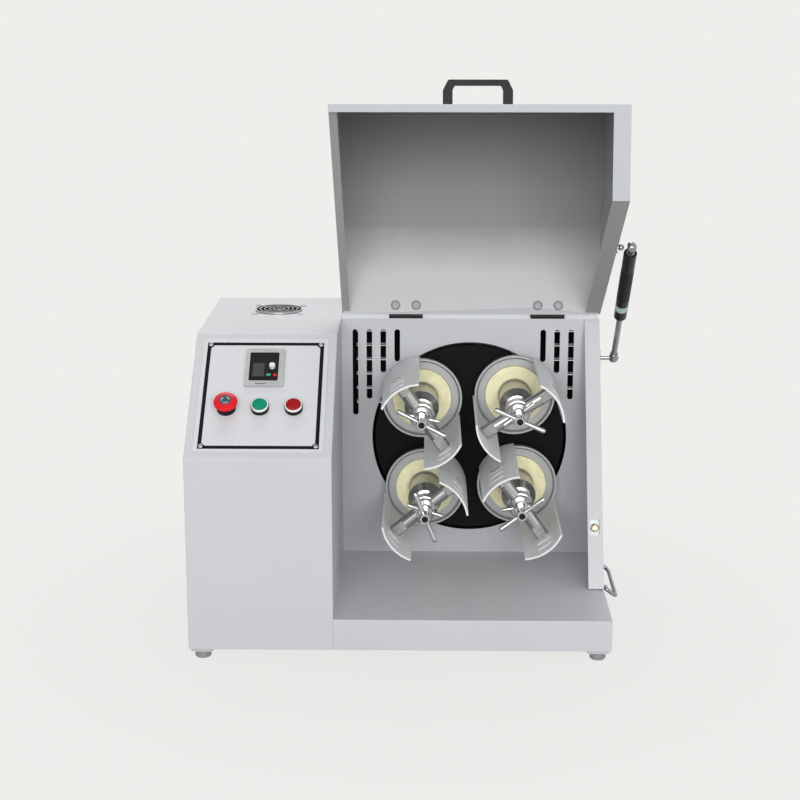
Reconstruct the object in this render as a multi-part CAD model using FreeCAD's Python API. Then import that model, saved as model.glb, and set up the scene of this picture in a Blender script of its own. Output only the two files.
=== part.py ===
import FreeCAD, Part
import math
import os

# A horizontal planetary ball mill. A control cabinet stands on the left and an open milling
# chamber on the right, under a lid that a gas strut holds up. A turntable in the back wall of
# the chamber carries four jar stations, which spin the other gears of a planetary drive.
# All sizes are in millimetres. X points right, Y to the back and Z up. Each piece is drawn
# from the left front corner of the body's underside, and is moved to the origin at the end.

V = FreeCAD.Vector
RIGHT = V(1, 0, 0)
BACK = V(0, 1, 0)
FRONT = V(0, -1, 0)
UP = V(0, 0, 1)

# Sheet metal body
sheet = 1.5
fold = 3.0
cabinet_width = 240.0
front_height = 327.0
slope_depth = 214.0
base_height = 53.0
base_lip = 50.0
chamber_depth = 354.0
port_side = 54.4
port_foot = 42.7
port_head = 43.1
wall_foot = 147.0
wall_flange = 25.0
tray_rim = 25.0
back_room = 8.5

# Slots of the chamber's back wall and louvres of the rear panel
slot_width = 10.0
slot_pitch = 25.0
slot_head = 20.0
slot_first = 130.5
slot_drops = (59.0, 80.0, 128.0, 158.0)
louvre_length = 60.0
louvre_height = 6.0
louvre_depth = 6.0
louvre_pitch = 28.0
louvre_rows = 6
louvre_drop = 204.0
louvre_offset = 183.0

# Feet
foot_inset = 20.0
foot_setback = 32.0
foot_plate = 36.0
foot_plate_height = 10.0
foot_radius = 13.5
foot_height = 24.0

# Lid and its hinges
lid_side_gap = 2.0
lid_seam = 2.5
lid_front_height = 440.0
lid_top_depth = 196.0
lid_open = 96.6
lid_back_gap = 4.0
lid_left_rim = 13.0
lid_front_rim = 12.0
rim_end = 8.0
heel_drop = 6.0
axis_rise = 4.0
hinge_length = 60.0
left_hinge_offset = -115.0
right_hinge_offset = 137.5
knuckle_radius = 4.0
pin_radius = 2.0
leaf_width = 30.0
leaf_thickness = 2.0
bolt_setback = 20.0
bolt_spacing = 36.5
bolt_head_radius = 8.5
bolt_head_height = 4.5
bolt_radius = 3.0
nut_height = 3.5

# Bridge handle of the lid
handle_height = 120.0
handle_length = 108.0
handle_reach = 40.0
handle_width = 15.0
handle_bar = 9.0
handle_chamfer = 16.0
handle_round = 4.0

# Gas strut, placed from the hinge's axis
strut_offset = 27.0
strut_foot_place = (2.0, -75.0)
strut_head_place = (-132.0, -234.0)
strut_tube_radius = 11.0
strut_tube_length = 180.0
strut_rod_radius = 5.0
ball_radius = 5.5
stud_radius = 4.0
socket_radius = 9.0
socket_collar = 13.0
stud_plate = 30.0

# Folding carrying handles
bail_front = 178.0
bail_length = 129.0
bail_height = 48.0
bail_wire = 3.5
bail_reach = 24.0
bail_bend = 4.5
bail_gap = 0.6
bail_droop = 38.0
ear_reach = 10.0
ear_thickness = 3.0

# Sloping console. A place on it is (x, distance up the slope).
console_margin = 14.0
console_thickness = 2.0
console_screw_inset = 26.5
console_screw_low = 25.0
console_screw_drop = 27.0
console_screw_radius = 4.0
console_screw_height = 2.2
screw_hole = 1.7
screw_shank = 1.5
screw_depth = 6.0
keypad_centre = (121.0, 189.5)
keypad_size = (66.0, 82.0)
keypad_proud = 4.0
keypad_depth = 80.0
window_centre = (119.7, 190.8)
window_size = (49.0, 61.5)
window_depth = 2.5
face_drop = 0.5
display_centre = (111.0, 183.0)
display_size = (19.5, 29.0)
display_proud = 1.2
knob_centre = (133.7, 189.5)
knob_radius = 5.0
knob_height = 8.0
knob_stem = 2.0
knob_seat = 1.4
run_key_centre = (128.2, 172.4)
run_key_size = (8.0, 4.4)
stop_key_centre = (138.8, 172.4)
stop_key_radius = 3.0
key_proud = 1.4
key_seat = 0.9
emergency_centre = (62.5, 103.5)
mushroom_radius = 20.0
mushroom_under = 13.5
mushroom_height = 23.0
collar_radius = 16.0
collar_height = 8.0
emergency_stem = 9.5
start_centre = (118.2, 103.5)
stop_centre = (173.8, 103.5)
bezel_radius = 15.0
bezel_height = 11.5
bezel_step = 7.5
bezel_floor = 7.5
button_radius = 12.4
button_under = 11.0
button_height = 13.0
button_stem = 9.0
button_end = 14.0
button_thread = 20.0
panel_hole = 11.2

# Cooling fan in the cabinet's top
fan_shift = 2.0
fan_setback = 124.0
fan_size = 92.0
fan_hole_spacing = 82.5
fan_bore = 43.0
fan_depth = 25.0
fan_hub = 17.0
fan_blades = 7
fan_bar = 2.0
blade_thickness = 1.4
blade_lean = 48.0
guard_wire = 1.8
guard_rings = (10.0, 18.0, 26.0, 34.0, 42.0)

# Lid switch in the chamber wall's flange
switch_height = 152.0
switch_size = (20.0, 31.0)
switch_depth = 8.0
switch_body = 16.0
switch_wall = 1.0
switch_lip = 1.2
plunger_radius = 7.0
plunger_stem = 4.2
plunger_length = 15.0
plunger_front = -0.4

# Jar stations and their clamps, placed from the crossbar's own middle
first_station = 47.2
stations = ("top_right", "top_left", "lower_left", "lower_right")
arm_angles = (33.0, 124.5, 39.7, 125.5)
screw_angles = (156.0, 152.0, 112.0, 37.0)
lock_angles = (37.0, -12.0, -18.0, 8.0)
jar_radius = 45.2
jar_wall = 8.0
jar_length = 98.0
jar_flange = 6.0
jar_round = 6.0
jar_lid_overhang = 7.3
jar_lid_thickness = 8.0
jar_lid_recess = 3.0
jar_lid_drop = 1.0
pocket_wall = 2.5
pocket_floor = 3.0
rim_width = 19.0
rim_reach = 32.0
rim_thickness = 10.0
rim_lip = 3.0
mouth_depth = 5.0
shoulder_step = 4.0
arm_thickness = 3.1
arm_spread = 62.0
arm_length = 204.0
arm_slot_width = 5.5
arm_slot_spread = 22.0
arm_slot_pitch = 28.0
bar_reach = 122.0
bar_radius = 11.5
bar_flat = 8.0
bar_flat_length = 24.0
bar_boss = 22.0
boss_half = 12.5
boss_step = 4.0
tongue_width = 16.0
tongue_thickness = 4.0
tongue_proud = 2.0
screw_radius = 7.0
screw_reach = 71.0
screw_socket = 5.5
screw_socket_depth = 6.0
handle_hub = 9.0
handle_hub_length = 20.0
handle_arm = 47.0
handle_arm_foot = 3.2
handle_arm_tip = 4.4
lock_hub = 13.0
lock_hub_length = 13.0
lock_arm = 33.0
lock_arm_foot = 3.0
lock_arm_tip = 3.8
cap_radius = 30.0
cap_setback = 22.0
cap_neck = 13.0
cap_neck_length = 12.0
cap_shoulder = 22.0
cap_cone = 30.0
cap_groove = 2.0
cap_bore = 18.0
cap_travel = 6.0

# Turntable and planetary drive behind the back wall
plate_margin = 6.0
plate_thickness = 8.0
port_gap = 4.6
gear_module = 3.0
sun_teeth = 52
planet_teeth = 26
gear_width = 12.0
gear_addendum = 2.3
gear_dedendum = 3.6
gear_backlash = 0.75
gear_gap = 4.0
pressure_angle = 20.0
carrier_gap = 6.0
carrier_back_radius = 165.0
carrier_back_thickness = 8.0
carrier_hub = 30.0
carrier_post = 7.0
carrier_post_orbit = 140.0
station_shaft = 10.0
shaft_collar = 4.0
bearing_wall = 7.0
main_shaft = 15.0
sun_clearance = 3.0
spacer_wall = 9.0
spacer_length = 2.0
housing_flange = 45.0
housing_flange_depth = 8.0
housing_radius = 32.0
housing_bore = 26.0
housing_length = 50.0
bearing_width = 14.0
bearing_setback = 3.0
bracket_setback = 16.0
bracket_thickness = 10.0
bracket_width = 250.0
bracket_head = 60.0
sole_front = 30.0
sole_back = 50.0
pulley_gap = 4.0
pulley_width = 22.0
pulley_lip = 2.0
pulley_rim = 10.0
pulley_web = 8.0
shaft_end = 2.0
driven_radius = 100.0
belt_thickness = 6.0
belt_width = 16.0

# Motor on the cabinet's floor
motor_axis_height = 92.0
motor_radius = 62.0
motor_length = 250.0
motor_to_pulley = 28.0
motor_shaft = 9.0
motor_pulley_radius = 38.0
motor_fins = 14
fin_height = 8.0
fin_thickness = 2.4
fin_setback = 20.0
motor_foot_setback = 40.0
motor_foot_length = 140.0
motor_foot_width = 32.0

# Cable gland in the rear panel
gland_place = (60.0, 80.0)
gland_radius = 11.0
gland_nut = 16.0
gland_outside = 24.0
gland_inside = 14.0

# Clearances, and the largest rounding that is drawn as a broken edge
running = 0.06
clear = 0.3
broken_edge = 2.0

# The jar sets the rim, the gears set the orbit, and both set the turntable, the port and the body
jar_lid_radius = jar_radius + jar_lid_overhang
rim_radius = jar_lid_radius + rim_width
orbit = gear_module * (sun_teeth + planet_teeth) / 2
pocket_radius = jar_radius + clear + pocket_wall
plate_radius = orbit + pocket_radius + plate_margin
port_radius = plate_radius + port_gap
chamber_width = 2 * (port_radius + port_side)
body_width = cabinet_width + chamber_width
mill_x = cabinet_width + chamber_width / 2
mill_z = base_height + port_foot + port_radius
body_height = mill_z + port_radius + port_head
mill_axis = V(mill_x, 0, mill_z)

# From the jar's rim forward to the clamp
rim_front = chamber_depth - rim_reach
arm_front = rim_front - arm_length
bar_middle = rim_front - bar_reach
arm_slot_rows = (bar_middle - 2 * arm_slot_pitch, bar_middle - arm_slot_pitch, bar_middle)
screw_front = bar_middle - screw_reach
cap_front = bar_middle + cap_setback

# From the jar's bottom back to the rear panel
jar_lid_seat = rim_front + jar_lid_drop + jar_lid_thickness
jar_back = jar_lid_seat + jar_length
holder_back = jar_back + pocket_floor
carrier_back_front = holder_back + carrier_gap
gear_front = carrier_back_front + carrier_back_thickness + gear_gap
housing_front = gear_front + gear_width + spacer_length
housing_back = housing_front + housing_length
bracket_front = housing_front + bracket_setback
pulley_front = housing_back + pulley_gap
body_depth = pulley_front + pulley_width + shaft_end + back_room + sheet

# Values that follow from the ones above
slope_rise = body_height - front_height
slope_length = math.hypot(slope_depth, slope_rise)
slope_angle = math.degrees(math.atan2(slope_rise, slope_depth))
console_screw_high = slope_length - console_screw_drop
hinge_y = chamber_depth
hinge_z = body_height + axis_rise
hinge_centres = (mill_x + left_hinge_offset, mill_x + right_hinge_offset)
handle_centre = mill_x
strut_foot = (hinge_y + strut_foot_place[0], hinge_z + strut_foot_place[1])
strut_head_closed = (hinge_y + strut_head_place[0], hinge_z + strut_head_place[1])
chamber_left = cabinet_width
slot_top = body_height - slot_head
slot_feet = [slot_top - drop for drop in slot_drops]
louvre_low = body_height - louvre_drop
fan_centre = (cabinet_width / 2 + fan_shift, body_depth - fan_setback)
motor_x = cabinet_width / 2
motor_front = pulley_front - motor_to_pulley - motor_length
wall_x = body_width - sheet
wall_slant = V(0, chamber_depth - wall_foot, body_height - base_height).normalize()
wall_normal = V(0, -wall_slant.z, wall_slant.y)
planet_ratio = sun_teeth / planet_teeth


def outline(points, closed=True):
    """A wire in the XY plane. A point is (a, b), or (a, b, radius) at a round corner. A radius
    up to broken_edge is drawn as a small flat that touches the arc's middle."""
    count = len(points)
    stops = []
    for i, point in enumerate(points):
        here = V(point[0], point[1], 0)
        radius = point[2] if len(point) > 2 else 0
        if radius <= 0:
            stops.append((here, None, here))
            continue
        before = V(points[i - 1][0], points[i - 1][1], 0) - here
        after = V(points[(i + 1) % count][0], points[(i + 1) % count][1], 0) - here
        before.normalize()
        after.normalize()
        half = before.getAngle(after) / 2
        middle = (before + after).normalize()
        back = radius / math.tan(half)
        depth = radius / math.sin(half) - radius
        if radius <= broken_edge:
            flat = depth / math.cos(half)
            stops.append((here + before * flat, None, here + after * flat))
            continue
        stops.append((here + before * back, here + middle * depth, here + after * back))
    edges = []
    for i, (start, crown, end) in enumerate(stops):
        if crown is not None:
            edges.append(Part.Arc(start, crown, end).toShape())
        elif start.distanceToPoint(end) > 1e-6:
            edges.append(Part.LineSegment(start, end).toShape())
        if i == count - 1 and not closed:
            break
        following = stops[(i + 1) % count][0]
        if following.distanceToPoint(end) > 1e-6:
            edges.append(Part.LineSegment(end, following).toShape())
    return Part.Wire(edges)


def prism(points, low, high, along):
    """A straight prism. Its outline is (y, z) along x, (x, z) along y or (x, y) along z."""
    face = Part.Face(outline(points))
    if along == "z":
        return face.extrude(UP * (high - low)).translated(UP * low)
    if along == "x":
        turn = FreeCAD.Rotation(V(1, 1, 1), 120)
        direction = RIGHT
    else:
        turn = FreeCAD.Rotation(RIGHT, 90)
        direction = BACK
    face.Placement = FreeCAD.Placement(direction * low, turn)
    return face.extrude(direction * (high - low))


def box(x0, x1, y0, y1, z0, z1):
    return Part.makeBox(x1 - x0, y1 - y0, z1 - z0, V(x0, y0, z0))


def rounded(x0, x1, y0, y1, radius):
    return [(x0, y0, radius), (x1, y0, radius), (x1, y1, radius), (x0, y1, radius)]


def rod(radius, start, direction, length):
    return Part.makeCylinder(radius, length, start, direction)


def ring(outer, inner, start, direction, length):
    return rod(outer, start, direction, length).cut(rod(inner, start, direction, length))


def turned(points, centre, direction, angle=360.0):
    """A turned piece. Its outline is (radius, distance along direction from the centre)."""
    face = Part.Face(outline(points))
    face.rotate(V(0, 0, 0), RIGHT, 90)
    solid = face.revolve(V(0, 0, 0), UP, angle)
    solid.Placement = FreeCAD.Placement(centre, FreeCAD.Rotation(UP, direction))
    return solid


def joined(shapes):
    """One solid from pieces that meet or overlap."""
    return shapes[0].multiFuse(shapes[1:]).removeSplitter()


def folded(points, side, bend=fold, thickness=sheet):
    """The section of a folded sheet: a line of points, and the same line a thickness to one side.
    side is 1 where the thickness lies to the left of the line's direction, and -1 to its right."""
    lines = []
    for (a0, b0), (a1, b1) in zip(points, points[1:]):
        run = V(a1 - a0, b1 - b0, 0).normalize()
        lines.append((V(a0, b0, 0), run, V(-run.y, run.x, 0) * side * thickness))
    first = []
    second = []
    for i, (a, b) in enumerate(points):
        if i in (0, len(points) - 1):
            normal = lines[min(i, len(lines) - 1)][2]
            first.append((a, b))
            second.append((a + normal.x, b + normal.y))
            continue
        run, after = lines[i - 1][1], lines[i][1]
        turn = run.cross(after).z
        half = run.getAngle(after) / 2
        mitre = (lines[i - 1][2] + lines[i][2]).normalize() * (thickness / math.cos(half))
        outside = turn * side > 0
        first.append((a, b, bend if outside else bend - thickness))
        second.append((a + mitre.x, b + mitre.y, bend - thickness if outside else bend))
    return first + second[::-1]


def on_slope(shape):
    """Moves a piece drawn flat, with y up the slope and z off its face, on to the console."""
    turn = FreeCAD.Rotation(RIGHT, slope_angle)
    moved = shape.copy()
    moved.Placement = FreeCAD.Placement(UP * front_height, turn).multiply(moved.Placement)
    return moved


def opened(shape):
    """Swings a piece of the closed lid up to the open rest place."""
    moved = shape.copy()
    moved.rotate(V(0, hinge_y, hinge_z), RIGHT, -lid_open)
    return moved


def opened_point(y, z):
    angle = math.radians(-lid_open)
    dy = y - hinge_y
    dz = z - hinge_z
    return V(0, hinge_y + dy * math.cos(angle) - dz * math.sin(angle),
             hinge_z + dy * math.sin(angle) + dz * math.cos(angle))


def slanted(x0, x1, start, length, front, depth):
    """A block on the slanted edge of the chamber wall. start and length run up the edge from
    its foot, and front and depth run back from the edge's own plane."""
    foot = V(0, wall_foot, base_height)
    corners = []
    for along, back in ((start, front), (start + length, front),
                        (start + length, front + depth), (start, front + depth)):
        corner = foot + wall_slant * along - wall_normal * back
        corners.append((corner.y, corner.z))
    return prism(corners, x0, x1, "x")


def turned_about(shape, centre, angle):
    """Turns a piece about an axis that runs front to back, anticlockwise as seen in front."""
    moved = shape.copy()
    moved.rotate(centre, FRONT, angle)
    return moved


def polar(angle, radius, y=0.0):
    """A place beside the mill's axis, at an angle as seen in front."""
    turn = math.radians(angle)
    return mill_axis + V(radius * math.cos(turn), y, radius * math.sin(turn))


# Sheet metal body

def cabinet_outline(inset):
    """The cabinet's side profile, moved inwards by a sheet where inset is one."""
    rise = inset * (slope_length - slope_depth) / slope_rise
    shift = inset * (slope_length - slope_rise) / slope_depth
    bend = fold - inset
    drop = inset if inset else 0.0
    back = body_depth - sheet + drop
    return [(inset, -drop), (inset, front_height - rise, bend),
            (slope_depth + shift, body_height - inset, bend),
            (back, body_height - inset), (back, -drop)]


def make_cabinet_shell():
    outer = prism(cabinet_outline(0.0), 0, cabinet_width, "x")
    long_edges = []
    for edge in outer.Edges:
        ends = [v.Point for v in edge.Vertexes]
        level = ends[0].x
        on_side = all(abs(p.x - level) < 1e-6 for p in ends)
        on_skin = all(p.y < body_depth - 2 * sheet or p.z > base_height for p in ends)
        at_back = all(p.y > body_depth - 2 * sheet for p in ends)
        underneath = all(p.z < 1e-6 for p in ends)
        if on_side and on_skin and not at_back and not underneath:
            long_edges.append(edge)
    outer = outer.makeFillet(fold / 2, long_edges)
    inner = prism(cabinet_outline(sheet), sheet, cabinet_width - sheet, "x")
    shell = outer.cut(inner)
    console = on_slope(box(2 * console_margin, cabinet_width - 2 * console_margin,
                           2.5 * console_margin, slope_length - 2.5 * console_margin,
                           -2 * fold, 2 * fold))
    shell = shell.cut(console)
    for x, u in screw_places():
        shell = shell.cut(on_slope(rod(screw_hole, V(x, u, -2 * fold), UP, 4 * fold)))
    x, y = fan_centre
    shell = shell.cut(rod(fan_bore, V(x, y, body_height - fold), UP, 2 * fold))
    for sx in (-1, 1):
        for sy in (-1, 1):
            corner = V(x + sx * fan_hole_spacing / 2, y + sy * fan_hole_spacing / 2, body_height - fold)
            shell = shell.cut(rod(guard_wire + clear, corner, UP, 2 * fold))
    passage = box(cabinet_width - 2 * sheet, cabinet_width + sheet,
                  pulley_front - fold, body_depth, base_height,
                  mill_z + driven_radius + 2 * belt_thickness)
    shell = shell.cut(passage)
    return split_sheets(joined([shell] + bail_ears(0.0, -1)))


def split_sheets(shell):
    """The cabinet's five flat sheets as they are welded along their edges: left wall, right wall,
    front, slope and top."""
    beyond = 2 * ear_reach
    high = body_height + beyond
    deep = body_depth + beyond
    inside = cabinet_width - sheet
    slabs = [box(-beyond, sheet, -beyond, deep, -beyond, high),
             box(inside, cabinet_width + beyond, -beyond, deep, -beyond, high),
             box(sheet, inside, -beyond, deep, -beyond, front_height),
             box(sheet, inside, -beyond, slope_depth, front_height, high),
             box(sheet, inside, slope_depth, deep, front_height, high)]
    sheets = []
    for slab in slabs:
        sheets += shell.common(slab).removeSplitter().Solids
    return sheets


def bail_ears(x, side):
    """Two ears that carry a folding handle, on the body's side at x. side is 1 on the right."""
    pair = []
    for y in (bail_front, bail_front + bail_length - ear_thickness):
        low = bail_height - ear_reach / 2
        high = bail_height + ear_reach / 2 - 1.0
        near = x - side * sheet / 2
        far = x + side * ear_reach
        points = [(near, low), (far, low, ear_reach / 3), (far, high, ear_reach / 3), (near, high)]
        ear = prism(points, y, y + ear_thickness, "y")
        pivot = V(x + side * ear_reach / 2, y - 1, bail_height)
        pair.append(ear.cut(rod(bail_wire + running, pivot, BACK, ear_thickness + 2)))
    return pair


def make_base_pan():
    """The tray under the chamber, open below inside its lip, and the tray of the cabinet."""
    low_back = body_depth - sheet
    outer = box(chamber_left, body_width, 0, low_back, 0, base_height)
    rims = [e for e in outer.Edges
            if all(abs(v.Z - base_height) < 1e-6 and v.Y < 1e-6 for v in e.Vertexes)
            or all(v.Y < 1e-6 and abs(v.X - body_width) < 1e-6 for v in e.Vertexes)]
    outer = outer.makeFillet(fold / 2, rims)
    hollow = box(chamber_left + sheet, body_width - sheet, sheet, low_back - sheet,
                 sheet, base_height - sheet)
    mouth = box(chamber_left + base_lip, body_width - base_lip, base_lip, low_back - base_lip,
                -sheet, 2 * sheet)
    tray = joined([outer.cut(hollow).cut(mouth)] + bail_ears(body_width, 1))
    floor = box(sheet, cabinet_width - sheet, sheet, low_back, 0, tray_rim)
    floor = floor.cut(box(2 * sheet, cabinet_width - 2 * sheet, 2 * sheet, low_back - sheet,
                          sheet, tray_rim + sheet))
    return [tray, floor]


def make_chamber_back_panel():
    panel = box(chamber_left, wall_x, chamber_depth, chamber_depth + sheet,
                base_height, body_height - sheet)
    panel = panel.cut(rod(port_radius, V(mill_x, chamber_depth - 1, mill_z), BACK, 3 * sheet))
    for column, foot in enumerate(slot_feet):
        for side in (-1, 1):
            x = mill_x + side * (slot_first + column * slot_pitch)
            corners = rounded(x - slot_width / 2, x + slot_width / 2, foot, slot_top,
                              slot_width / 2 - 0.01)
            panel = panel.cut(prism(corners, chamber_depth - 1, chamber_depth + 2 * sheet, "y"))
    return panel


def make_chamber_shell():
    """The chamber's right wall with the cover of the drive, folded from one sheet, and the
    flange along the wall's slanted front edge."""
    section = folded([(chamber_left, body_height), (body_width, body_height),
                      (body_width, base_height)], -1)
    shell = prism(section, wall_foot - sheet, body_depth - sheet, "y")
    run = (chamber_depth - wall_foot) / (body_height - base_height)
    in_front = [(wall_foot - run * sheet, base_height - sheet),
                (chamber_depth + run * sheet, body_height + sheet),
                (-sheet, body_height + sheet), (-sheet, base_height - sheet)]
    shell = shell.cut(prism(in_front, chamber_left - sheet, body_width + sheet, "x"))
    shell = shell.cut(box(chamber_left - 1, wall_x - wall_flange, 0, chamber_depth,
                          base_height, body_height + 1))
    edge_length = math.hypot(chamber_depth - wall_foot, body_height - base_height)
    flange = slanted(wall_x - wall_flange, wall_x + sheet / 2, 2 * sheet,
                     edge_length - 4 * sheet, 0, sheet)
    shell = joined([shell, flange])
    window = slanted(switch_x() - switch_size[0] / 2, switch_x() + switch_size[0] / 2,
                     switch_along() - switch_size[1] / 2, switch_size[1], -1, 3 * sheet)
    return shell.cut(window)


def make_rear_panel():
    """The whole back, with rows of hooded louvres behind the slots of the chamber."""
    low = body_depth - sheet
    panel = prism(rounded(0, body_width, 0, body_height, fold / 2), low, body_depth, "y")
    hoods = []
    for row in range(louvre_rows):
        z = louvre_low + row * louvre_pitch
        for side in (-1, 1):
            x0 = mill_x + side * louvre_offset - louvre_length / 2
            x1 = x0 + louvre_length
            gap = box(x0 + sheet, x1 - sheet, low - 1, body_depth + 1, z, z + louvre_height)
            panel = panel.cut(gap)
            top = z + louvre_height + louvre_depth / 2
            hood = [(body_depth - sheet / 2, top), (body_depth, top),
                    (body_depth + louvre_depth, z + sheet), (body_depth + louvre_depth, z),
                    (body_depth + louvre_depth - sheet, z),
                    (body_depth + louvre_depth - sheet, z + sheet),
                    (body_depth - sheet / 2, top - 1.6 * sheet)]
            hoods.append(prism(hood, x0, x1, "x"))
    x, z = gland_place
    panel = panel.cut(rod(gland_radius, V(x, low - 1, z), BACK, 3 * sheet))
    return joined([panel] + hoods)


def make_cable_gland():
    """The inlet of the mains lead: a threaded body through the panel with a nut on each side."""
    x, z = gland_place
    hexagon = []
    for k in range(6):
        turn = math.radians(60 * k)
        hexagon.append((x + gland_nut * math.cos(turn), z + gland_nut * math.sin(turn), 1.0))
    nut = gland_outside / 4
    dome_radius = 1.25 * gland_radius
    outer = prism(hexagon, body_depth, body_depth + nut, "y")
    inner = prism(hexagon, body_depth - sheet - nut, body_depth - sheet, "y")
    stem = rod(gland_radius - clear, V(x, body_depth - gland_inside, z), BACK, gland_inside + nut)
    dome = turned([(0, nut), (dome_radius, nut), (dome_radius, 2 * gland_outside / 3),
                   (0.8 * gland_radius, gland_outside, 3), (0, gland_outside)], V(x, body_depth, z), BACK)
    body = joined([outer, inner, stem, dome])
    lead = rod(0.45 * gland_radius, V(x, body_depth - 2 * gland_inside, z), BACK,
               2 * gland_inside + 2 * gland_outside)
    return body.cut(lead)


def make_feet():
    """Four levelling feet: a square plate under the body and a turned pad below it."""
    pieces = []
    half = foot_plate / 2
    for x in (foot_inset, body_width - foot_inset):
        for y in (foot_setback, body_depth - foot_setback):
            plate = prism(rounded(x - half, x + half, y - half, y + half, 3), -foot_plate_height, 0, "z")
            pad = turned([(0, foot_plate_height), (foot_radius, foot_plate_height),
                          (foot_radius, foot_height - 2), (foot_radius - 2, foot_height),
                          (0, foot_height)], V(x, y, 0), V(0, 0, -1))
            pieces += [plate, pad]
    return pieces


# Lid

def make_lid_shell():
    """A box lid of folded sheet, drawn closed: front, slope and top in one strip, a side wall
    at each end, and flanges around the rim."""
    x0 = chamber_left + lid_side_gap
    x1 = body_width
    low = base_height + lid_side_gap
    top = body_height
    back = chamber_depth - lid_back_gap
    strip = prism(folded([(0, low), (0, lid_front_height), (lid_top_depth, top), (back, top)], -1),
                  x0, x1, "x")
    seam = lid_seam
    slant_foot = (wall_foot - seam, low)
    run = (chamber_depth - wall_foot) / (body_height - base_height)
    heel_z = body_height - heel_drop
    heel_y = chamber_depth - seam - run * (body_height - heel_z)
    crown = [(0, lid_front_height, fold), (lid_top_depth, top, fold), (heel_y - sheet, top)]
    right_side = prism([(0, low)] + crown + [(heel_y, heel_z), slant_foot], wall_x, x1, "x")
    left_side = prism([(0, low)] + crown + [(heel_y, heel_z)], x0, x0 + sheet, "x")
    lean = V(0, heel_y - slant_foot[0], heel_z - low).normalize()
    inward = V(0, -lean.z, lean.y) * sheet
    right_rim = prism([(slant_foot[0], low), (heel_y - lean.y * rim_end, heel_z - lean.z * rim_end),
                       (heel_y - lean.y * rim_end + inward.y, heel_z - lean.z * rim_end + inward.z),
                       (slant_foot[0] + inward.y, low + inward.z)],
                      wall_x - wall_flange, x1 - sheet / 2, "x")
    foot_rim = box(wall_x - wall_flange, x1 - sheet / 2, sheet / 2, slant_foot[0], low, low + sheet)
    front_rim = box(x0 + sheet / 2, x1 - sheet / 2, sheet / 2, lid_front_rim, low, low + sheet)
    left_length = math.hypot(heel_y, heel_z - low)
    left_lean = V(0, heel_y / left_length, (heel_z - low) / left_length)
    left_in = V(0, -left_lean.z, left_lean.y) * sheet
    left_end = left_lean * (left_length - rim_end)
    left_rim = prism([(sheet / 2, low), (left_end.y, low + left_end.z),
                      (left_end.y + left_in.y, low + left_end.z + left_in.z),
                      (sheet / 2, low + 2 * sheet)], x0 + sheet / 2, x0 + lid_left_rim, "x")
    shell = joined([strip, right_side, left_side, right_rim, foot_rim, front_rim, left_rim])
    for x in bolt_places():
        hole = V(x, chamber_depth - bolt_setback, top - fold)
        shell = shell.cut(rod(bolt_radius + clear, hole, UP, 2 * fold))
    return opened(shell)


def bolt_places():
    places = []
    for centre in hinge_centres:
        places += [centre - bolt_spacing / 2, centre + bolt_spacing / 2]
    return places


def make_hinges():
    """The fixed and the moving halves of both hinges, drawn with the lid closed."""
    fixed = []
    moving = []
    third = hinge_length / 3
    for centre in hinge_centres:
        x0 = centre - hinge_length / 2
        axis = V(x0, hinge_y, hinge_z)
        bore = rod(pin_radius + running, axis - RIGHT, RIGHT, hinge_length + 2)
        leaf_low = body_height
        back_leaf = box(x0, x0 + hinge_length, hinge_y, hinge_y + leaf_width,
                        leaf_low, leaf_low + leaf_thickness)
        front_leaf = box(x0, x0 + hinge_length, hinge_y - leaf_width, hinge_y,
                         leaf_low, leaf_low + leaf_thickness)
        for k in range(3):
            start = V(x0 + k * third, hinge_y, hinge_z)
            relief = rod(knuckle_radius + 2 * clear, start - RIGHT * clear, RIGHT, third + 2 * clear)
            if k == 1:
                front_leaf = front_leaf.cut(relief)
            else:
                back_leaf = back_leaf.cut(relief)
        middle = rod(knuckle_radius, V(x0 + third, hinge_y, hinge_z), RIGHT, third)
        ends = [rod(knuckle_radius, V(x0, hinge_y, hinge_z), RIGHT, third - clear),
                rod(knuckle_radius, V(x0 + 2 * third + clear, hinge_y, hinge_z), RIGHT, third - clear)]
        for x in (centre - bolt_spacing / 2, centre + bolt_spacing / 2):
            hole = rod(bolt_radius + clear, V(x, hinge_y - bolt_setback, leaf_low - 1), UP, 4 * sheet)
            front_leaf = front_leaf.cut(hole)
        fixed.append(joined([back_leaf, middle]).cut(bore))
        fixed.append(rod(pin_radius, V(x0, hinge_y, hinge_z), RIGHT, hinge_length))
        moving.append(opened(joined([front_leaf] + ends).cut(bore)))
    for x in bolt_places():
        moving.append(opened(hinge_bolt(x)))
    return fixed, moving


def hinge_bolt(x):
    """A round headed bolt from inside the lid, with a nut on the leaf outside."""
    under = -sheet
    crown = under - bolt_head_height
    outside = leaf_thickness
    nut = 2 * bolt_radius
    profile = [(0, crown), (0.65 * bolt_head_radius, crown, 2),
               (bolt_head_radius, under - bolt_head_height / 3, 1), (bolt_head_radius, under),
               (bolt_radius, under), (bolt_radius, outside), (nut, outside),
               (nut, outside + nut_height), (0, outside + nut_height)]
    return turned(profile, V(x, chamber_depth - bolt_setback, body_height), UP)


def make_lid_handle():
    """A moulded bridge handle on the lid's front, with chamfered shoulders and round edges."""
    half = handle_length / 2
    shoulder = half - handle_chamfer / 2
    bend = -handle_reach + handle_chamfer
    under = -handle_reach + handle_bar
    leg = half - handle_width
    knee = leg - handle_chamfer / 5
    outer = handle_round
    inner = 0.75 * handle_round
    points = [(-half, 0), (-half, bend, outer), (-shoulder, -handle_reach, outer),
              (shoulder, -handle_reach, outer), (half, bend, outer), (half, 0),
              (leg, 0), (leg, bend, inner), (knee, under, inner),
              (-knee, under, inner), (-leg, bend, inner), (-leg, 0)]
    placed = [(handle_centre + p[0],) + p[1:] for p in points]
    bridge = prism(placed, handle_height - handle_width / 2, handle_height + handle_width / 2, "z")
    return opened(bridge)


# Gas strut

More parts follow.
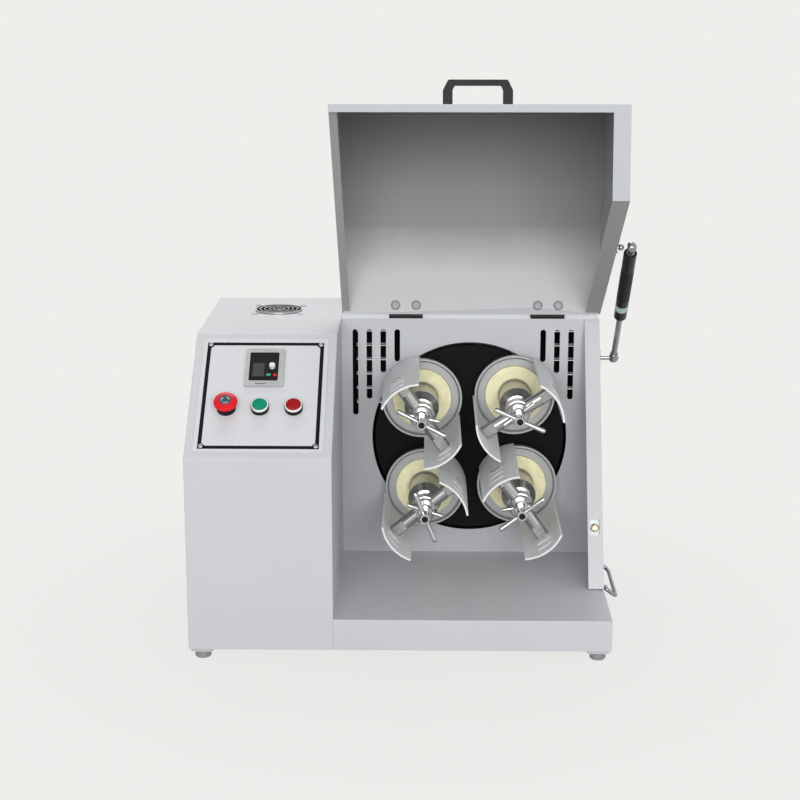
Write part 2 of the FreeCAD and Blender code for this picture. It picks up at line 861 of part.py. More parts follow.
def strut_points():
    foot = V(body_width + strut_offset, strut_foot[0], strut_foot[1])
    head = opened_point(*strut_head_closed) + RIGHT * (body_width + strut_offset)
    return foot, head


def ball_stud(y, z, ball_x):
    """A round plate on the wall with a ball on a short neck."""
    plate = prism(rounded(y - stud_plate / 3, y + stud_plate / 3, z - stud_plate / 2,
                          z + stud_plate / 2, 5), body_width, body_width + 2 * sheet, "x")
    neck = rod(stud_radius, V(body_width, y, z), RIGHT, ball_x - body_width)
    ball = Part.makeSphere(ball_radius, V(ball_x, y, z))
    return joined([plate, neck, ball])


def make_strut():
    """The two ball studs, the rod with its socket, and the tube with its ball end."""
    foot, head = strut_points()
    way = (head - foot).normalize()
    lower = ball_stud(foot.y, foot.z, foot.x)
    upper_x = foot.x - strut_tube_radius - 1.0 - ball_radius
    upper = opened(ball_stud(strut_head_closed[0], strut_head_closed[1], upper_x))
    start = foot - RIGHT * socket_radius
    bore = rod(ball_radius + running, start - RIGHT, RIGHT, socket_radius + 1)
    cavity = Part.makeSphere(ball_radius + running, foot)
    rod_start = foot + way * (socket_radius - 2)
    tube_start = head - way * (strut_tube_length + socket_collar)
    inside = (tube_start - foot).Length + strut_tube_length / 3
    socket = Part.makeSphere(socket_radius, foot)
    collar = rod(socket_radius - 2, foot, way, socket_collar)
    slim = rod(strut_rod_radius, rod_start, way, inside - socket_radius)
    lower_piece = joined([socket, collar, slim]).cut(bore).cut(cavity)
    plug = strut_tube_length - 6
    tube = turned([(strut_rod_radius + clear, 0), (strut_tube_radius - 1, 0),
                   (strut_tube_radius, 1), (strut_tube_radius, strut_tube_length - 2, 1),
                   (strut_rod_radius, strut_tube_length), (0, strut_tube_length),
                   (0, plug), (strut_rod_radius + clear, plug)], tube_start, way)
    link = rod(strut_rod_radius, tube_start + way * (strut_tube_length - 3), way, socket_collar - 1)
    end = Part.makeSphere(socket_radius, head)
    swept = stud_radius + 2 * sheet
    keep_off = rod(swept, head - RIGHT * 2 * socket_radius, RIGHT, 2 * socket_radius)
    upper_piece = joined([tube, link, end.cut(keep_off)])
    return lower, upper, lower_piece, upper_piece


# Carrying handles

def make_bail(x, side):
    """A handle bent from round wire. Its ends turn in through the ears, and it droops."""
    leg = bail_bend + bail_gap
    inner = bail_front - leg
    outer = bail_front + bail_length + leg
    tip = bail_bend + ear_thickness + 2 * bail_gap
    reach = side * bail_reach
    path = [(0, inner + tip), (0, inner, bail_bend), (reach, inner, 2 * bail_bend),
            (reach, outer, 2 * bail_bend), (0, outer, bail_bend), (0, outer - tip)]
    section = Part.Wire(Part.makeCircle(bail_wire, V(0, inner + tip, 0), BACK))
    wire = outline(path, closed=False).makePipeShell([section], True, True)
    wire.rotate(V(0, 0, 0), BACK, side * bail_droop)
    return wire.translated(V(x + side * ear_reach / 2, 0, bail_height))


# Console

def make_console():
    panel = prism(rounded(console_margin, cabinet_width - console_margin, console_margin,
                          slope_length - console_margin, 5), 0, console_thickness, "z")
    x, u = keypad_centre
    w, h = keypad_size
    panel = panel.cut(box(x - w / 2 + 3, x + w / 2 - 3, u - h / 2 + 3, u + h / 2 - 3, -1, 4))
    for cx, cu in (emergency_centre, start_centre, stop_centre):
        panel = panel.cut(rod(panel_hole, V(cx, cu, -1), UP, 4))
    for cx, cu in screw_places():
        panel = panel.cut(rod(screw_hole, V(cx, cu, -1), UP, 4))
    return on_slope(panel)


def screw_places():
    places = []
    for x in (console_screw_inset, cabinet_width - console_screw_inset):
        for u in (console_screw_low, console_screw_high):
            places.append((x, u))
    return places


def make_panel_screws():
    """Round headed screws with a cross recess, in the console's corners."""
    screws = []
    radius = console_screw_radius
    low = console_thickness
    top = low + console_screw_height
    middle = low + console_screw_height / 2
    for x, u in screw_places():
        head = turned([(0, -screw_depth), (screw_shank, -screw_depth), (screw_shank, low), (radius, low),
                       (radius, middle, 0.5), (0.6 * radius, top), (0, top)], V(x, u, 0), UP)
        for a, b in ((0.55 * radius, 0.5), (0.5, 0.55 * radius)):
            head = head.cut(box(x - a, x + a, u - b, u + b, middle, top + 1))
        screws.append(on_slope(head))
    return screws


def make_inverter_keypad():
    """The speed controller: its body behind the console, its frame, its face and display."""
    x, u = keypad_centre
    w, h = keypad_size
    base = console_thickness
    top = base + keypad_proud
    floor = top - window_depth
    level = top - face_drop
    wall = 4.0
    frame = prism(rounded(x - w / 2, x + w / 2, u - h / 2, u + h / 2, wall), base, top, "z")
    back = box(x - w / 2 + wall, x + w / 2 - wall, u - h / 2 + wall, u + h / 2 - wall, -keypad_depth, base)
    a, b = window_centre
    ww, wh = window_size
    pit = prism(rounded(a - ww / 2, a + ww / 2, b - wh / 2, b + wh / 2, 2), floor, top + 1, "z")
    housing = joined([frame, back]).cut(pit)
    face = prism(rounded(a - ww / 2 + clear, a + ww / 2 - clear, b - wh / 2 + clear,
                         b + wh / 2 - clear, 2), floor, level, "z")
    hole_start = floor - 1
    knob_hole = V(knob_centre[0], knob_centre[1], hole_start)
    face = face.cut(rod(knob_stem + running, knob_hole, UP, keypad_proud))
    face = face.cut(key_block(run_key_centre, run_key_size, hole_start, keypad_proud, clear))
    stop_hole = V(stop_key_centre[0], stop_key_centre[1], hole_start)
    face = face.cut(rod(stop_key_radius + clear, stop_hole, UP, keypad_proud))
    c, d = display_centre
    dw, dh = display_size
    display = prism(rounded(c - dw / 2, c + dw / 2, d - dh / 2, d + dh / 2, 1.5),
                    level, level + display_proud, "z")
    return [on_slope(housing), on_slope(face), on_slope(display)]


def key_block(centre, size, low, height, grow=0.0):
    x, u = centre
    w, h = size
    corners = rounded(x - w / 2 - grow, x + w / 2 + grow, u - h / 2 - grow, u + h / 2 + grow,
                      h / 2 + grow - 0.01)
    return prism(corners, low, low + height, "z")


def make_keypad_controls():
    face = console_thickness + keypad_proud - face_drop
    kx, ku = knob_centre
    knob = turned([(0, -knob_seat), (knob_stem, -knob_seat), (knob_stem, clear), (knob_radius, clear),
                   (knob_radius, knob_height - 1), (knob_radius - 1, knob_height), (0, knob_height)],
                  V(kx, ku, face), UP)
    line = box(kx - 0.5, kx + 0.5, ku, ku + knob_radius, face + knob_height - 0.6, face + knob_height + 1)
    run = key_block(run_key_centre, run_key_size, face - key_seat, key_seat + key_proud)
    stop = turned([(0, -key_seat), (stop_key_radius, -key_seat), (stop_key_radius, key_proud, 0.6),
                   (0, key_proud)], V(stop_key_centre[0], stop_key_centre[1], face), UP)
    return on_slope(knob.cut(line)), on_slope(run), on_slope(stop)


def make_button_bezels():
    """The collar of the emergency stop and the round frames of the two push buttons."""
    top = console_thickness
    x, u = emergency_centre
    thread = panel_hole - clear
    crown = top + collar_height
    collar = turned([(emergency_stem, -button_thread), (thread, -button_thread), (thread, top),
                     (collar_radius, top), (collar_radius - 1.5, crown), (emergency_stem, crown)],
                    V(x, u, 0), UP)
    pieces = [on_slope(collar)]
    bore = button_stem + clear
    seat = button_radius + clear
    rim = bezel_radius - 0.7
    step = top + bezel_step
    crown = top + bezel_height
    for x, u in (start_centre, stop_centre):
        bezel = turned([(bore, -button_thread), (thread, -button_thread), (thread, top), (bezel_radius, top),
                        (bezel_radius, step), (rim, step), (rim, crown - 1), (rim - 1, crown),
                        (seat, crown), (seat, top + bezel_floor), (bore, top + bezel_floor)],
                       V(x, u, 0), UP)
        pieces.append(on_slope(bezel))
    return pieces


def make_emergency_button():
    x, u = emergency_centre
    stem = emergency_stem - clear
    under = console_thickness + mushroom_under
    crown = console_thickness + mushroom_height
    edge = under + (mushroom_height - mushroom_under) * 0.3
    shoulder = under + (mushroom_height - mushroom_under) * 0.65
    middle = mushroom_radius / 2
    profile = [(0, -button_end), (stem, -button_end), (stem, under), (mushroom_radius - 2, under, 1.5),
               (mushroom_radius, edge, 2), (mushroom_radius - 1, shoulder, 4), (middle, crown),
               (middle, crown - 0.6), (0, crown - 0.6)]
    return on_slope(turned(profile, V(x, u, 0), UP))


def make_push_button(centre):
    x, u = centre
    under = console_thickness + button_under
    crown = console_thickness + button_height
    profile = [(0, -button_end), (button_stem, -button_end), (button_stem, under), (button_radius, under),
               (button_radius, crown - 0.6, 0.8), (button_radius - 1.8, crown),
               (button_radius - 3, crown - 0.4), (0, crown - 0.4)]
    return on_slope(turned(profile, V(x, u, 0), UP))


# Cooling fan

def make_cooling_fan():
    """The fan's square frame under the cabinet's top, and its wire guard with four ears."""
    x, y = fan_centre
    half = fan_size / 2
    top = body_height - sheet
    bottom = top - fan_depth
    reach = fan_bore + 1
    frame = prism(rounded(x - half, x + half, y - half, y + half, 5), bottom, top, "z")
    frame = frame.cut(rod(fan_bore, V(x, y, bottom - 1), UP, fan_depth + 2))
    strut = box(x - reach, x + reach, y - fan_bar, y + fan_bar, bottom, bottom + fan_bar)
    cross = box(x - fan_bar, x + fan_bar, y - reach, y + reach, bottom, bottom + fan_bar)
    hub = rod(fan_hub - fan_bar, V(x, y, bottom), UP, 2 * fan_bar)
    frame = joined([frame, strut, cross, hub])
    wires = []
    for radius in guard_rings:
        start = V(x, y, body_height + 0.6 * guard_wire)
        wires.append(ring(radius + guard_wire / 2, radius - guard_wire / 2, start, UP, guard_wire))
    corner = fan_hole_spacing / 2
    holes = []
    for sx in (-1, 1):
        for sy in (-1, 1):
            arm = box(0, corner * math.sqrt(2), -guard_wire / 2, guard_wire / 2, 0, guard_wire)
            arm.rotate(V(0, 0, 0), UP, math.degrees(math.atan2(sy, sx)))
            wires.append(arm.translated(V(x, y, body_height)))
            hole = V(x + sx * corner, y + sy * corner, bottom - 1)
            wires.append(rod(3 * guard_wire, hole + UP * (body_height - hole.z), UP, guard_wire))
            holes.append(rod(guard_wire, hole, UP, 2 * fan_depth))
    guard = joined(wires)
    for hole in holes:
        frame = frame.cut(hole)
        guard = guard.cut(hole)
    return [frame, guard]


def make_fan_rotor():
    x, y = fan_centre
    low = body_height - sheet - fan_depth + 2 * fan_bar + clear
    height = 0.6 * fan_depth
    hub = turned([(0, 0), (fan_hub, 0), (fan_hub, height, 2), (0, height)], V(x, y, low), UP)
    blades = [hub]
    for k in range(fan_blades):
        blade = Part.makeBox(fan_bore - fan_hub, blade_thickness, 1.1 * height,
                             V(fan_hub - 1, -blade_thickness / 2, -0.55 * height))
        blade.rotate(V(0, 0, 0), RIGHT, blade_lean)
        blade.rotate(V(0, 0, 0), UP, 360 * k / fan_blades)
        blades.append(blade.translated(V(x, y, low + height / 2)))
    rotor = joined(blades)
    return rotor.common(rod(fan_bore - 1, V(x, y, low), UP, height))


# Lid switch

def switch_x():
    return wall_x - wall_flange / 2


def switch_along():
    return (switch_height - base_height) / wall_slant.z


def switch_centre(back):
    foot = V(0, wall_foot, base_height)
    return RIGHT * switch_x() + foot + wall_slant * switch_along() - wall_normal * back


def make_switch():
    """A shallow tray behind the flange's window, the switch behind it, and its domed plunger."""
    w, h = switch_size
    wall = switch_wall
    edge = 2.5 * wall
    x0 = switch_x() - w / 2 + clear
    x1 = switch_x() + w / 2 - clear
    start = switch_along() - h / 2 + clear
    length = h - 2 * clear
    tray = slanted(x0, x1, start, length, 0, switch_depth)
    tray = tray.cut(slanted(x0 + wall, x1 - wall, start + wall, length - 2 * wall, -wall, switch_depth))
    lip = slanted(x0 - 1.5 * wall, x1 + 1.5 * wall, start - edge, length + 2 * edge, sheet, switch_lip)
    lip = lip.cut(slanted(x0 + wall, x1 - wall, start + wall, length - 2 * wall, 0, switch_depth))
    inset = 4 * wall
    body = slanted(x0 + 2 * wall, x1 - 2 * wall, start + inset, length - 2 * inset,
                   switch_depth, switch_body)
    bore = rod(plunger_stem + running, switch_centre(switch_depth + switch_body - 2), wall_normal,
               switch_body)
    housing = joined([tray, lip, body]).cut(bore)
    front = plunger_front
    back = front - 0.2 * plunger_length
    plunger = turned([(0, front - plunger_length), (plunger_stem, front - plunger_length),
                      (plunger_stem, back), (plunger_radius, back),
                      (plunger_radius, front - 0.12 * plunger_length, 1), (0.55 * plunger_radius, front, 3),
                      (0, front)], switch_centre(0), wall_normal)
    return housing, plunger


# Turntable and jar stations

def make_turntable():
    """The black plate in the port, the rear plate that carries the station bearings, the
    posts and hub between them, the main shaft, and the big pulley on the shaft's end."""
    front = chamber_depth
    plate = turned([(0, 0), (plate_radius - 1.5, 0), (plate_radius, 1.5), (plate_radius, plate_thickness),
                    (0, plate_thickness)], mill_axis + BACK * front, BACK)
    rear = rod(carrier_back_radius, mill_axis + BACK * carrier_back_front, BACK, carrier_back_thickness)
    hub_start = front + plate_thickness
    hub = rod(carrier_hub, mill_axis + BACK * hub_start, BACK, carrier_back_front - hub_start)
    posts = []
    for k in range(len(stations)):
        at = polar(first_station + 45 + 90 * k, carrier_post_orbit, hub_start)
        posts.append(rod(carrier_post, at, BACK, carrier_back_front - hub_start))
    shaft_start = carrier_back_front + carrier_back_thickness
    shaft = rod(main_shaft, mill_axis + BACK * shaft_start, BACK,
                pulley_front + pulley_width + shaft_end - shaft_start)
    carrier = joined([plate, rear, hub, shaft] + posts)
    bearings = []
    outer = station_shaft + bearing_wall
    for k in range(len(stations)):
        at = polar(first_station + 90 * k, orbit)
        port = rod(pocket_radius + 2 * clear, at + BACK * (front - 1), BACK, plate_thickness + 2)
        seat = rod(outer, at + BACK * (carrier_back_front - 1), BACK, carrier_back_thickness + 2)
        carrier = carrier.cut(port).cut(seat)
        bearings.append(ring(outer - running, station_shaft + running,
                             at + BACK * carrier_back_front, BACK, carrier_back_thickness))
    pulley = grooved_pulley(driven_radius, main_shaft + running, mill_axis)
    return [carrier, pulley] + bearings


def grooved_pulley(radius, bore, axis):
    """A flat belt pulley with a rim on each side of the belt and a dished web."""
    rim = radius + belt_thickness + pulley_lip
    face = (pulley_width - belt_width) / 2 - clear
    inside = radius - pulley_rim
    web_front = (pulley_width - pulley_web) / 2
    web_back = (pulley_width + pulley_web) / 2
    hub = bore + pulley_web
    points = [(bore, 0), (hub, 0), (hub, web_front), (inside, web_front), (inside, 0), (rim, 0),
              (rim, face), (radius, face), (radius, pulley_width - face),
              (rim, pulley_width - face), (rim, pulley_width), (inside, pulley_width),
              (inside, web_back), (hub, web_back), (hub, pulley_width), (bore, pulley_width)]
    return turned(points, axis + BACK * pulley_front, BACK)


def gear(teeth, centre, first_angle, bore, width):
    """A spur gear with straight flanks. first_angle is the middle of one tooth, seen in front."""
    pitch_radius = gear_module * teeth / 2
    half = (math.pi * gear_module - gear_backlash) / 4
    lean = math.tan(math.radians(pressure_angle))
    tip = (half - gear_addendum * lean) / (pitch_radius + gear_addendum)
    root = (half + gear_dedendum * lean) / (pitch_radius - gear_dedendum)
    points = []
    for k in range(teeth):
        middle = math.radians(first_angle) + 2 * math.pi * k / teeth
        for offset, radius in ((-root, pitch_radius - gear_dedendum), (-tip, pitch_radius + gear_addendum),
                               (tip, pitch_radius + gear_addendum), (root, pitch_radius - gear_dedendum)):
            turn = middle + offset
            points.append((centre.x + radius * math.cos(turn), centre.z + radius * math.sin(turn)))
    blank = prism(points, gear_front, gear_front + width, "y")
    return blank.cut(rod(bore, V(centre.x, gear_front - 1, centre.z), BACK, width + 2))


def planet_phase(angle):
    """The first tooth's angle of a planet gear that meshes with the sun gear's tooth at 0."""
    pitch = 360.0 / sun_teeth
    offset = round(angle / pitch) * pitch - angle
    return angle + 180.0 - offset * planet_ratio + 180.0 / planet_teeth


def make_jar_holder(index):
    """A pocket behind a wide rim, with a shaft at the back and a planet gear on the shaft. Two
    curved arms reach forward from the rim, with rows of slots for the crossbar's tongues."""
    angle = first_station + 90 * index
    at = polar(angle, orbit)
    front = rim_front
    rim_back = front + rim_thickness
    shoulder = jar_lid_seat + jar_flange
    bore = jar_radius + clear
    mouth = jar_lid_radius + 0.5
    neck = mouth + rim_lip
    floor = front + mouth_depth
    collar = station_shaft + shaft_collar
    collar_end = carrier_back_front - clear
    shaft_back = gear_front + gear_width + 1
    groove = rim_radius - rim_width / 2
    profile = [(rim_radius, front), (rim_radius, rim_back, 1), (neck, rim_back + 2),
               (neck, shoulder + shoulder_step, 1), (pocket_radius, shoulder + 1.5 * shoulder_step),
               (pocket_radius, holder_back), (collar, holder_back), (collar, collar_end),
               (station_shaft, collar_end), (station_shaft, shaft_back), (0, shaft_back),
               (0, jar_back), (bore, jar_back), (bore, shoulder), (mouth, shoulder), (mouth, floor),
               (groove, floor), (groove, floor + 1), (groove + 1.5, floor + 1), (groove + 1.5, floor),
               (groove + 3.0, floor), (rim_radius - rim_lip, front)]
    holder = turned(profile, at, BACK)
    arms = []
    inner = rim_radius - 0.2
    outer = rim_radius + arm_thickness
    half = arm_slot_width / 2
    for half_turn in (0, 180):
        middle = arm_angles[index] + half_turn
        arm = sector(at, inner, outer, arm_front, rim_back - 1, middle, arm_spread)
        for row in arm_slot_rows:
            arm = arm.cut(sector(at, inner - 2, outer + 2, row - half, row + half, middle, arm_slot_spread))
        arms.append(arm)
    planet = gear(planet_teeth, at, planet_phase(angle), station_shaft, gear_width)
    return [joined([holder] + arms), planet]


def sector(axis, inner, outer, low, high, middle, spread):
    """Part of a tube about a front to back axis, spread degrees wide about its middle angle."""
    start = math.radians(middle - spread / 2)
    face = Part.Face(Part.makePolygon([V(inner, low, 0), V(outer, low, 0), V(outer, high, 0),
                                       V(inner, high, 0), V(inner, low, 0)]))
    face.rotate(V(0, 0, 0), FRONT, math.degrees(start))
    piece = face.revolve(V(0, 0, 0), FRONT, spread)
    return piece.translated(V(axis.x, 0, axis.z))


def make_grinding_jar(index):
    """The jar with its mouth flange, and its lid with a round recess for the pressure cap."""
    at = polar(first_station + 90 * index, orbit)
    lip = jar_lid_seat + jar_flange
    inner = jar_radius - jar_wall
    floor = jar_back - jar_wall
    jar = turned([(inner, jar_lid_seat), (jar_lid_radius, jar_lid_seat), (jar_lid_radius, lip),
                  (jar_radius, lip), (jar_radius, jar_back, jar_round / 2), (0, jar_back),
                  (0, floor), (inner, floor, jar_round)], at, BACK)
    face = rim_front + jar_lid_drop
    recess = cap_radius + 3
    plug = inner - clear
    lid = turned([(0, face + jar_lid_recess), (recess, face + jar_lid_recess), (recess, face),
                  (jar_lid_radius, face, 1.5), (jar_lid_radius, jar_lid_seat), (plug, jar_lid_seat),
                  (plug, jar_lid_seat + 3), (0, jar_lid_seat + 3)], at, BACK)
    return [jar, lid]


def make_crossbar(index):
    """The round bar between the arms: flats and a tongue at each end, and a boss with the
    screw's bore in its middle."""
    at = polar(first_station + 90 * index, orbit)
    middle = bar_middle
    half = math.sqrt((rim_radius - 0.5) ** 2 - bar_radius ** 2)
    bar = rod(bar_radius, V(-half, middle, 0), RIGHT, 2 * half)
    for side in (-1, 1):
        end = side * half
        flat = box(end - bar_flat_length, end + bar_flat_length, middle - 2 * bar_radius,
                   middle - bar_flat, -bar_radius, bar_radius)
        bar = bar.cut(flat)
    front = middle - boss_half
    back = middle + boss_half
    step = bar_boss - boss_step
    boss = turned([(0, front), (step, front), (step + 1, front + boss_step, 1),
                   (bar_boss, front + boss_step + 1, 1), (bar_boss, back, 1), (0, back)], V(0, 0, 0), BACK)
    reach = rim_radius + arm_thickness + tongue_proud
    tongue = box(-reach, reach, middle - tongue_thickness / 2, middle + tongue_thickness / 2,
                 -tongue_width / 2, tongue_width / 2)
    whole = joined([bar, boss, tongue])
    whole = whole.cut(rod(screw_radius + running, V(0, front - 1, 0), BACK, 2 * boss_half + 2))
    return turned_about(whole, V(0, 0, 0), arm_angles[index]).translated(V(at.x, 0, at.z))


def make_pressure_cap(index):
    """The polished cap that presses on the jar's lid, with the screw's end in its neck."""
    at = polar(first_station + 90 * index, orbit)
    seat = rim_front + jar_lid_drop + jar_lid_recess - clear
    bore = screw_radius + running
    neck = cap_front + cap_neck_length
    cone = cap_front + cap_cone
    groove = cap_radius - cap_groove
    profile = [(bore, cap_front), (cap_neck, cap_front), (cap_neck, neck),
               (cap_shoulder - 2, neck + 2, 1), (cap_shoulder, neck + 4, 1),
               (cap_radius, cone, 1), (cap_radius, cone + 4, 1), (groove, cone + 8),
               (groove, seat - 8), (cap_radius, seat - 5), (cap_radius, seat), (0, seat),
               (0, cap_front + cap_bore), (bore, cap_front + cap_bore)]
    return turned(profile, at, BACK)


def make_clamp_screw(index):
    """The clamp screw: a thread, a hub in front with a socket, and two tapered handle arms."""
    at = polar(first_station + 90 * index, orbit)
    back = cap_front + cap_bore - clear
    hub_back = screw_front + handle_hub_length
    pit = screw_front + screw_socket_depth
    spindle = turned([(0, pit), (screw_socket, pit), (screw_socket, screw_front),
                      (handle_hub - 1, screw_front), (handle_hub, screw_front + 1), (handle_hub, hub_back),
                      (screw_radius, hub_back), (screw_radius, back), (0, back)], V(0, 0, 0), BACK)
    arms = []
    foot = handle_hub - 2
    centre = V(0, screw_front + 0.6 * handle_hub_length, 0)
    for side in (-1, 1):
        arms.append(turned([(0, foot), (handle_arm_foot, foot), (handle_arm_tip, handle_arm - 4),
                            (handle_arm_foot, handle_arm, 1), (0, handle_arm)], centre, RIGHT * side))
    whole = joined([spindle] + arms)
    return turned_about(whole, V(0, 0, 0), screw_angles[index]).translated(V(at.x, 0, at.z))


def make_lock_handle(index):
    """The lock nut in front of the crossbar, with its own two short arms."""
    at = polar(first_station + 90 * index, orbit)
    back = bar_middle - boss_half - clear
    front = back - lock_hub_length
    hub = turned([(0, front), (lock_hub - 2, front), (lock_hub, front + 2), (lock_hub, back), (0, back)],
                 V(0, 0, 0), BACK)
    pieces = [hub]
    centre = V(0, (front + back) / 2, 0)
    for side in (-1, 1):
        pieces.append(turned([(0, 2), (lock_arm_foot, 2), (lock_arm_tip, lock_arm - 3),
                              (lock_arm_foot, lock_arm), (0, lock_arm)], centre, RIGHT * side))
    whole = joined(pieces).cut(rod(screw_radius + running, V(0, front - 1, 0), BACK, lock_hub_length + 2))
    return turned_about(whole, V(0, 0, 0), lock_angles[index]).translated(V(at.x, 0, at.z))


# Drive behind the back wall

def make_sun_gear_bracket():
    """The bracket that stands on the base, with the bearing housing, two bearings and the fixed
    sun gear on the housing's front flange."""
    bore = main_shaft + sun_clearance
    sun = gear(sun_teeth, mill_axis, 0.0, bore, gear_width)
    spacer = ring(bore + spacer_wall, bore, mill_axis + BACK * (gear_front + gear_width), BACK,
                  housing_front - gear_front - gear_width)
    housing = turned([(housing_bore, housing_front), (housing_flange, housing_front),
                      (housing_flange, housing_front + housing_flange_depth),
                      (housing_radius, housing_front + housing_flange_depth),
                      (housing_radius, housing_back), (housing_bore, housing_back)], mill_axis, BACK)
    half = bracket_width / 2
    head = bracket_head
    web = prism([(mill_x - half, base_height), (mill_x + half, base_height), (mill_x + head, mill_z, 20),
                 (mill_x + head, mill_z + head, head - 1), (mill_x - head, mill_z + head, head - 1),
                 (mill_x - head, mill_z, 20)], bracket_front, bracket_front + bracket_thickness, "y")
    web = web.cut(rod(housing_radius, mill_axis + BACK * (bracket_front - 1), BACK, bracket_thickness + 2))
    sole = box(mill_x - half, mill_x + half, bracket_front - sole_front, bracket_front + sole_back,
               base_height, base_height + bracket_thickness)
    body = joined([housing, web, sole])
    bearings = []
    for start in (housing_front + bearing_setback, housing_back - bearing_setback - bearing_width):
        bearings.append(ring(housing_bore - running, main_shaft + running, mill_axis + BACK * start, BACK,
                             bearing_width))
    return [body, joined([sun, spacer])] + bearings


def belt_section(grow):
    """The outline around both pulleys, at the belt's inner face plus grow."""
    small = motor_pulley_radius + clear + grow
    large = driven_radius + clear + grow
    a = V(motor_x, motor_axis_height, 0)
    b = V(mill_x, mill_z, 0)
    along = (b - a).Length
    heading = math.atan2(b.y - a.y, b.x - a.x)
    spread = math.acos((small - large) / along)
    def at(centre, radius, turn):
        return V(centre.x + radius * math.cos(turn), centre.y + radius * math.sin(turn), 0)
    upper = (at(a, small, heading + spread), at(b, large, heading + spread))
    lower = (at(a, small, heading - spread), at(b, large, heading - spread))
    edges = [Part.LineSegment(upper[0], upper[1]).toShape(),
             Part.Arc(upper[1], at(b, large, heading), lower[1]).toShape(),
             Part.LineSegment(lower[1], lower[0]).toShape(),
             Part.Arc(lower[0], at(a, small, heading + math.pi), upper[0]).toShape()]
    return Part.Face(Part.Wire(edges))


def make_drive_belt():
    start = pulley_front + (pulley_width - belt_width) / 2
    section = belt_section(belt_thickness).cut(belt_section(0.0))
    section.rotate(V(0, 0, 0), RIGHT, 90)
    belt = section.extrude(BACK * belt_width)
    return belt.translated(BACK * start)


def make_drive_motor():
    """A finned motor on its feet, with its shaft towards the back."""
    axis = V(motor_x, 0, motor_axis_height)
    root = motor_radius - fin_height
    frame = motor_radius - fin_height / 2
    cover = motor_length - 14
    body = turned([(0, 0), (root, 0, 4), (root, 16), (frame, 16), (frame, cover),
                   (motor_radius - 10, cover), (motor_radius - 20, motor_length, 4), (0, motor_length)],
                  axis + BACK * motor_front, BACK)
    pieces = [body]
    motor_back = motor_front + motor_length
    for k in range(motor_fins):
        fin = box(root, motor_radius, motor_front + fin_setback, motor_back - fin_setback,
                  -fin_thickness / 2, fin_thickness / 2)
        fin.rotate(V(0, 0, 0), FRONT, 360 * k / motor_fins)
        pieces.append(fin.translated(axis))
    half = motor_foot_width / 2
    start = motor_front + motor_foot_setback
    for side in (-1, 1):
        x = motor_x + side * 0.75 * motor_radius
        pieces.append(box(x - half, x + half, start, start + motor_foot_length, sheet,
                          0.55 * motor_axis_height))
    pieces.append(rod(motor_shaft, axis + BACK * (motor_back - 2), BACK,
                      pulley_front + pulley_width - motor_back + 2))
    return joined(pieces)


def make_motor_pulley():
    radius = motor_pulley_radius
    rim = radius + belt_thickness + pulley_lip
    face = (pulley_width - belt_width) / 2 - clear
    bore = motor_shaft + running
    return turned([(bore, 0), (rim, 0), (rim, face), (radius, face), (radius, pulley_width - face),
                   (rim, pulley_width - face), (rim, pulley_width), (bore, pulley_width)],
                  V(motor_x, pulley_front, motor_axis_height), BACK)


def build():
    """Every piece by its node's name, as a list of solids in the body's own frame."""
    nodes = {}
    nodes["base_pan"] = make_base_pan()
    nodes["cabinet_shell"] = make_cabinet_shell()
    nodes["chamber_back_panel"] = [make_chamber_back_panel()]
    nodes["chamber_shell"] = [make_chamber_shell()]
    nodes["rear_panel"] = [make_rear_panel()]
    nodes["cable_gland"] = [make_cable_gland()]
    nodes["feet"] = make_feet()
    nodes["lid_shell"] = [make_lid_shell()]
    nodes["lid_handle"] = [make_lid_handle()]
    fixed, moving = make_hinges()
    nodes["hinge_fixed_leaves"] = fixed
    nodes["hinge_lid_leaves"] = moving
    lower, upper, lower_piece, upper_piece = make_strut()
    nodes["strut_lower_stud"] = [lower]
    nodes["strut_upper_stud"] = [upper]
    nodes["strut_rod"] = [lower_piece]
    nodes["strut_tube"] = [upper_piece]
    nodes["right_bail"] = [make_bail(body_width, 1)]
    nodes["left_bail"] = [make_bail(0.0, -1)]
    nodes["console_panel"] = [make_console()]
    nodes["panel_screws"] = make_panel_screws()
    nodes["inverter_keypad"] = make_inverter_keypad()
    knob, run_key, stop_key = make_keypad_controls()
    nodes["keypad_knob"] = [knob]
    nodes["keypad_run_key"] = [run_key]
    nodes["keypad_stop_key"] = [stop_key]
    nodes["button_bezels"] = make_button_bezels()
    nodes["emergency_button"] = [make_emergency_button()]
    nodes["start_button"] = [make_push_button(start_centre)]
    nodes["stop_button"] = [make_push_button(stop_centre)]
    nodes["cooling_fan"] = make_cooling_fan()
    nodes["fan_rotor"] = [make_fan_rotor()]
    housing, plunger = make_switch()
    nodes["switch_housing"] = [housing]
    nodes["switch_plunger"] = [plunger]
    nodes["turntable"] = make_turntable()
    nodes["sun_gear_bracket"] = make_sun_gear_bracket()
    nodes["drive_motor"] = [make_drive_motor()]
    nodes["motor_pulley"] = [make_motor_pulley()]
    nodes["drive_belt"] = [make_drive_belt()]
    for index, place in enumerate(stations):
        nodes["jar_holder_" + place] = make_jar_holder(index)
        nodes["grinding_jar_" + place] = make_grinding_jar(index)
        nodes["crossbar_" + place] = [make_crossbar(index)]
        nodes["pressure_cap_" + place] = [make_pressure_cap(index)]
        nodes["clamp_screw_" + place] = [make_clamp_screw(index)]
        nodes["lock_handle_" + place] = [make_lock_handle(index)]
    return nodes


def origin_of(nodes):
    """The middle of the whole part in X and Y, at the height of the feet's undersides."""
    whole = FreeCAD.BoundBox()
    for solids in nodes.values():
        for solid in solids:
            whole.add(solid.optimalBoundingBox(False))
    return V((whole.XMin + whole.XMax) / 2, (whole.YMin + whole.YMax) / 2, whole.ZMin)


